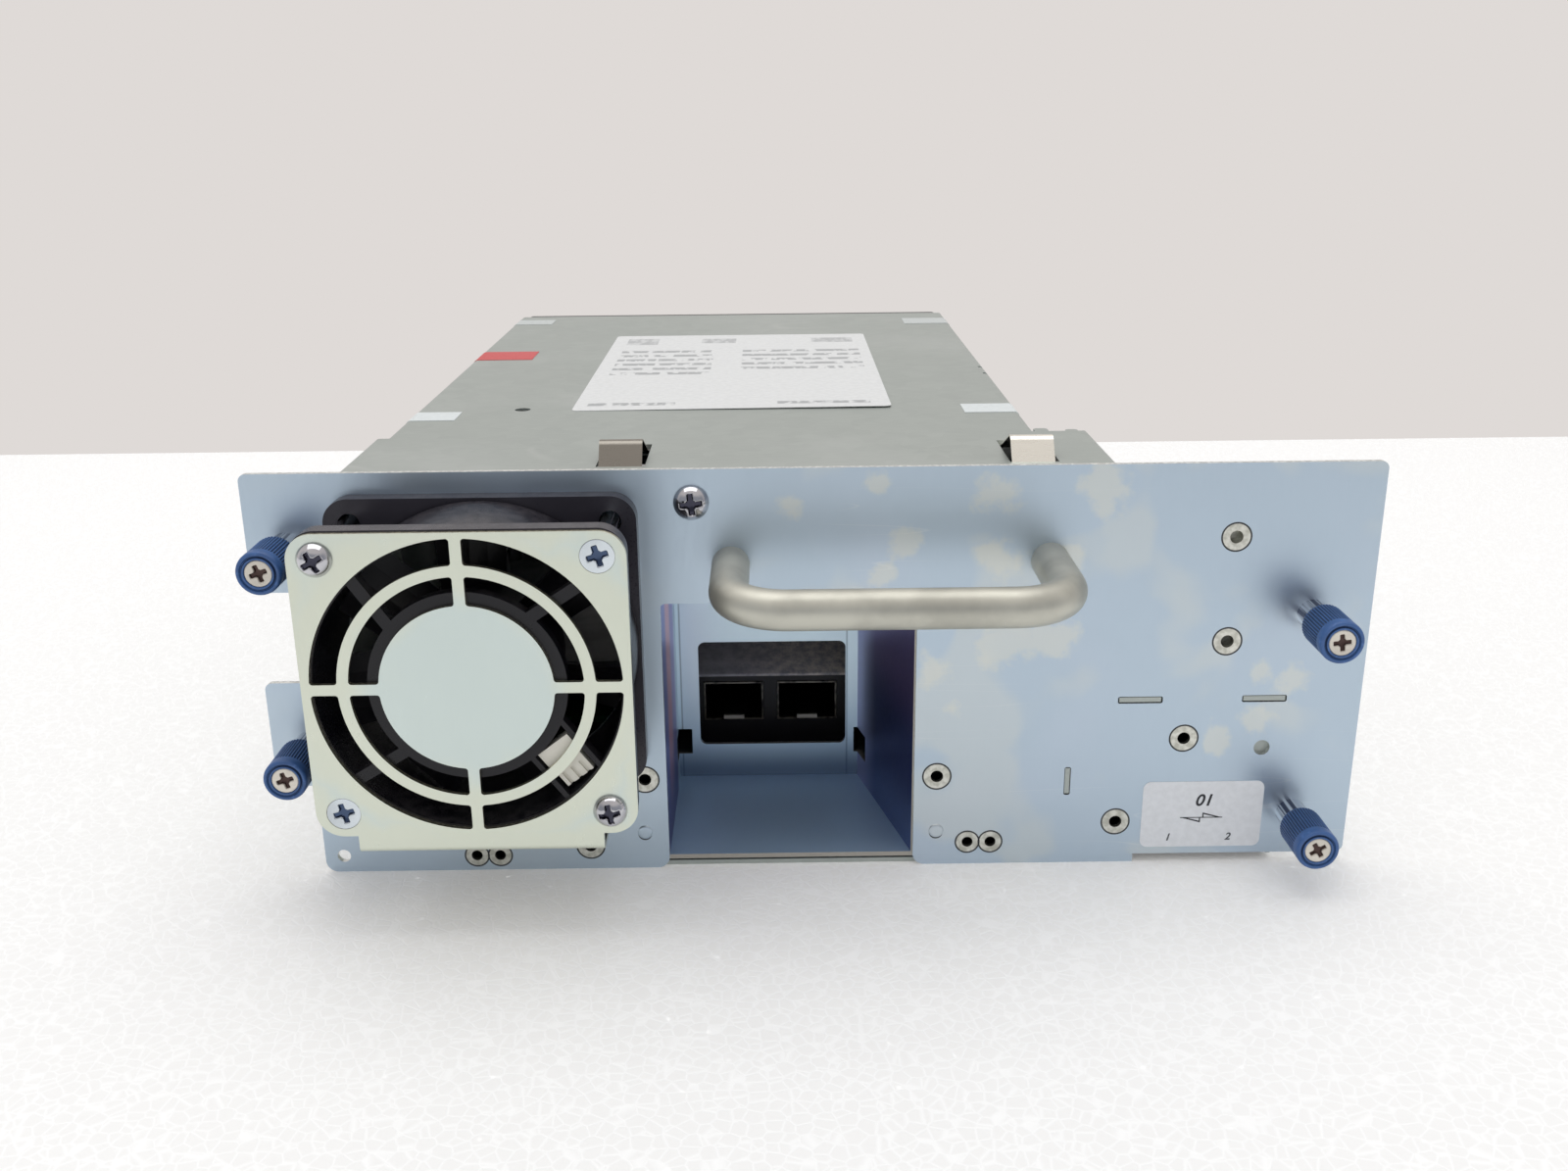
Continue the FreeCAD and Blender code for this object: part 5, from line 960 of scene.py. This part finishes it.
# ---- thumbscrew knobs -------------------------------------------------------
class DRIVE_OT_knobs(bpy.types.Operator):
    """Knobs with fine ribs behind a smooth rolled rim"""
    bl_idname = "drive.knobs"
    bl_label = "Knobs"

    def execute(self, context):
        values = settings_of(context).knobs
        material = knob_nylon(values.blue)
        for number in range(1, 5):
            node = "knob_%d" % number
            piece = self.knob(node, material, values.ridges, "thumbscrew_%d_turn" % number)
            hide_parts(node)
        return {"FINISHED"}

    def knob(self, node, material, ridges, body):
        """Profile swept round the axis; over the ribbed rows the radius gains a raised cosine of
        the angle times the number of ridges. The valleys and the groove in the face are marked deep,
        which their material paints as shade."""
        centre, outer, length = front_of(node)
        face = [(1.25, 3.0), (1.25, 2.05), (2.64, 2.0), (2.64, 0.12), (2.72, 0.02), (3.0, 0.0), (3.05, 0.1),
                (3.08, 0.5), (3.42, 0.5), (3.46, 0.1), (3.54, 0.0)]
        rim = [(-0.42, 0.0), (-0.2, 0.1), (-0.06, 0.32), (0.0, 0.6), (0.0, 2.1), (-0.02, 2.2), (-0.1, 2.36),
               (-0.12, 2.44), (-0.13, 2.6), (-0.13, length - 0.7), (-0.24, length - 0.35),
               (-0.3, length - 0.25), (-0.42, length), (-0.95, length), (-0.95, 3.0)]
        profile = face + [(outer + inset, depth) for inset, depth in rim] + [(1.25, 3.0)]
        ribbed, groove = np.zeros(len(profile)), np.zeros(len(profile))
        ribbed[18:23] = 0.35, 1.0, 1.0, 1.0, 0.35
        groove[6:8] = 0.9

        def ripple(angle, row):
            wave = 0.5 + 0.5 * np.cos(angle * ridges)
            return ribbed[row] * (0.26 * wave ** 0.6 - 0.15) * MM

        segments = ridges * 6
        points, faces = turned(profile, centre, segments, ripple)
        # painted shade: the ridge valleys and the face groove are marked deep, and the material darkens them
        valley = 0.5 - 0.5 * np.cos(np.linspace(0, 2 * np.pi, segments, endpoint=False) * ridges)
        deep = np.maximum(ribbed[:, None] * valley[None, :], groove[:, None])
        return show("ribbed_" + node, points, faces, material, body, deep=deep)


# ---- labels and tapes -------------------------------------------------------
class DRIVE_OT_labels(bpy.types.Operator):
    """Bare labels on the panel and the cover, and the tape tabs over the cover's edges"""
    bl_idname = "drive.labels"
    bl_label = "Labels and tapes"

    def execute(self, context):
        values = settings_of(context).labels
        self.sheet("panel_label", (67.9, 0.0, 3.4), (25.1, 15.0), "xz", 1.6,
                   paper("panel_label_stock", values.panel_label))
        self.panel_print()
        self.sheet("cover_label", (-57.0, 78.0, COVER_TOP), (78.0, 116.0), "xy", 1.5,
                   paper("cover_label_stock", values.paper_white, ruled_rows), values.curl)
        tape = paper("tape_stock", values.tape)
        red = paper("red_tab_stock", values.red)
        faint = paper("worn_tape_stock", values.worn_tape)
        left, right = DRIVE_SIDES
        self.wrapped("tape_tab_left", left, 1, 11.5, 68.5, 78.0, tape)
        self.wrapped("tape_tab_right", right, -1, 13.0, 71.0, 81.0, tape)
        self.wrapped("tape_tab_far_left", left, 1, 13.0, 222.0, 232.0, faint)
        self.wrapped("tape_tab_far_right", right, -1, 15.0, 215.0, 227.0, faint)
        self.wrapped("red_tab", left, 1, 17.0, 152.5, 166.4, red)
        return {"FINISHED"}

    def sheet(self, name, corner, size, plane, radius, material, curl=0.0):
        """Rounded sheet: rings of the outline shrunk towards the centre, with the last ring dropped to
        the surface. curl lifts the near right corner by the square of the way out to it."""
        width, height = size
        quarter = np.linspace(0, np.pi / 2, 8)
        outline = []
        for k, (cx, cy) in enumerate(((1, 1), (-1, 1), (-1, -1), (1, -1))):
            angle = quarter + k * np.pi / 2
            outline.append(np.stack([cx * (width / 2 - radius) + radius * np.cos(angle),
                                     cy * (height / 2 - radius) + radius * np.sin(angle)], -1))
        outline = np.vstack(outline)
        share = np.append(np.linspace(0.0, 1.0, 14), 1.0)
        points = share[:, None, None] * outline[None, :, :]
        lift = np.full(points.shape[:2], PAPER)
        lift[-1] = 0.0
        way = np.clip((points[..., 0] / width - points[..., 1] / height - 0.72) / 0.28, 0, 1)
        lift = lift + curl / MM * way ** 2
        across = points[..., 0] + width / 2 + corner[0]
        along = points[..., 1] + height / 2
        faces = grid_faces(len(share), len(outline), wrap=True)
        if plane == "xz":
            place = np.stack([across, corner[1] - lift, along + corner[2]], -1)
        else:
            place = np.stack([across, along + corner[1], corner[2] + lift], -1)
            faces = faces[:, ::-1]
        show(name, on_face(place), faces, material, smooth=False)

    def wrapped(self, name, edge, side, reach, start, stop, material, drop=7.0, bend=1.2):
        """Tape over the cover's bent edge: a path in from the top, round a quarter circle and down the
        side, carried along y, a paper's thickness clear of the sheet and down to it at its rim."""
        turn = np.linspace(np.pi / 2, 0, 9)
        flat = np.linspace(reach, bend, 6)
        path = np.concatenate([np.stack([flat, np.full(6, 0.0)], -1),
                               np.stack([bend - bend * np.cos(turn), bend * np.sin(turn) - bend], -1),
                               np.stack([np.zeros(4), np.linspace(-bend - 0.5, -drop, 4)], -1)])
        out = np.concatenate([np.tile([0.0, 1.0], (6, 1)), np.stack([-np.cos(turn), np.sin(turn)], -1),
                              np.tile([-1.0, 0.0], (4, 1))])
        path, out = (np.vstack([rows[:1], rows, rows[-1:]]) for rows in (path, out))
        along = np.concatenate([[start], np.linspace(start, stop, 6), [stop]])
        lift = np.zeros((len(path), len(along)))
        lift[1:-1, 1:-1] = PAPER
        u = edge + side * (path[:, :1] + out[:, :1] * lift)
        w = COVER_TOP + path[:, 1:] + out[:, 1:] * lift
        faces = grid_faces(*lift.shape)
        show(name, on_face(np.stack([u, np.broadcast_to(along, lift.shape), w], -1)),
             faces if side < 0 else faces[:, ::-1], material, smooth=False)

    def panel_print(self):
        """Plain numbers and a two-way arrow in flat ink: a bar with an outlined barb above its right half
        and another below its left half."""
        ink = paper("label_ink", rgb(70, 74, 80))
        black = paper("bold_ink", rgb(34, 36, 44))
        for word, x, z, size, colour in (("1", 73.6, 4.9, 2.3, ink), ("2", 86.2, 4.9, 2.3, ink),
                                         ("01", 80.6, 12.9, 3.7, black)):
            self.written(word, x, z, size, colour)
        bar = [(-4.4, -0.1), (4.4, -0.1), (4.4, 0.1), (-4.4, 0.1)]
        barb = [(0.2, 0.1), (0.2, 1.15), (3.9, 0.1), (2.9, 0.1), (0.46, 0.76), (0.46, 0.1)]
        corners = np.array(bar + barb + [(-u, -w) for u, w in barb]) + (80.4, 10.15)
        faces = [(0, 1, 2, 3)]
        for first in (4, 10):
            faces += [(first, first + 5, first + 4, first + 1), (first + 1, first + 4, first + 3, first + 2)]
        show("link_arrow", self.inked(corners * MM), faces, black, smooth=False)

    def inked(self, flat):
        """Points of the label's plane, (x, z) in metres, at the level of its print."""
        return np.stack([flat[:, 0], np.full(len(flat), INK_LEVEL), flat[:, 1]], -1)

    def written(self, word, x, z, size, ink):
        """A number set in flat type, leaning a little, made a mesh and stood on the label."""
        name = "number_" + word
        curve = bpy.data.curves.new(name, "FONT")
        curve.body = word
        curve.size = size * MM
        curve.align_x = "CENTER"
        curve.shear = 0.25
        curve.offset = size * MM * 0.02
        typed = bpy.data.objects.new(name, curve)
        bpy.context.scene.collection.objects.link(typed)
        bpy.context.view_layer.update()
        mesh = bpy.data.meshes.new_from_object(typed)
        bpy.data.objects.remove(typed)
        flat = np.empty(len(mesh.vertices) * 3)
        mesh.vertices.foreach_get("co", flat)
        place = self.inked(flat.reshape(-1, 3)[:, :2] + np.array([x, z]) * MM)
        mesh.vertices.foreach_set("co", place.ravel())
        mesh.materials.clear()
        mesh.materials.append(ink)
        mesh.update()
        placed(name, mesh)


# ---- press marks ------------------------------------------------------------
class DRIVE_OT_marks(bpy.types.Operator):
    """Clinch grooves round the studs with painted shade in them, and half-shear pips with painted
    shadows under their lower edges
    """
    bl_idname = "drive.marks"
    bl_label = "Press marks"

    def execute(self, context):
        # painted shade: the grooves round the studs and the crescents under the pips are drawn in a dark tone
        painted_press_shade = moulded("clinch_painted_shade", rgb(58, 60, 64), 0.5, 0.6, 0.0)
        rings = [turned([(radius + r, h) for r, h in GROOVE_PROFILE], (x * MM, FACE, z * MM))
                 for x, z, radius in STUD_RINGS]
        show("clinch_grooves", *merged(rings), painted_press_shade)
        pips = [turned(PIP_PROFILE, (x * MM, FACE, z * MM)) for x, z in PIPS]
        zinc = bpy.data.materials["panel_zinc"]
        show("half_shear_pips", *merged(pips), zinc)
        show("pip_shadows", *merged([self.crescent(x, z) for x, z in PIPS]), painted_press_shade)
        return {"FINISHED"}

    def crescent(self, x, z):
        """Painted shadow under a pip's lower edge: a strip along its lower arc that widens with the sine of
        the way round."""
        way = np.linspace(0, 1, 25)
        angle = np.pi * (1.08 + 0.78 * way)
        radius = np.stack([np.full(25, 1.5), 1.5 + 0.02 + 0.3 * np.sin(np.pi * way)])
        flat = np.stack([x + radius * np.cos(angle), np.full(radius.shape, -0.02),
                         z + radius * np.sin(angle)], -1)
        return on_face(flat), grid_faces(2, 25)


# ---- panel and registration -------------------------------------------------
class DRIVE_PT_panel(bpy.types.Panel):
    """Shows the drive's settings, sizes and colours among them, and a button for each step"""
    bl_idname = "DRIVE_PT_panel"
    bl_label = "Tape drive"
    bl_space_type = "VIEW_3D"
    bl_region_type = "UI"
    bl_category = "Tape drive"

    def draw(self, context):
        layout = self.layout
        values = settings_of(context)
        for label, group_values in (("Stage", values.stage), ("Metal", values.metal), ("Knobs", values.knobs),
                                    ("Labels", values.labels)):
            box = layout.box()
            box.label(text=label)
            for name in group_values.__annotations__:
                box.prop(group_values, name)
        for operator in OPERATORS:
            layout.operator(operator.bl_idname)


SETTINGS = (StageSettings, MetalSettings, KnobSettings, LabelSettings, DriveSettings)
OPERATORS = (DRIVE_OT_stage, DRIVE_OT_sheet_metal, DRIVE_OT_hardware, DRIVE_OT_fan, DRIVE_OT_ports,
             DRIVE_OT_mechanism, DRIVE_OT_knobs, DRIVE_OT_labels, DRIVE_OT_marks)


def register():
    for made in SETTINGS + OPERATORS + (DRIVE_PT_panel,):
        bpy.utils.register_class(made)
    bpy.types.Scene.drive_settings = PointerProperty(type=DriveSettings)


def unregister():
    del bpy.types.Scene.drive_settings
    for made in reversed(SETTINGS + OPERATORS + (DRIVE_PT_panel,)):
        bpy.utils.unregister_class(made)


def main():
    register()
    for operator in OPERATORS:
        family, name = operator.bl_idname.split(".")
        getattr(getattr(bpy.ops, family), name)()


if __name__ == "__main__":
    main()
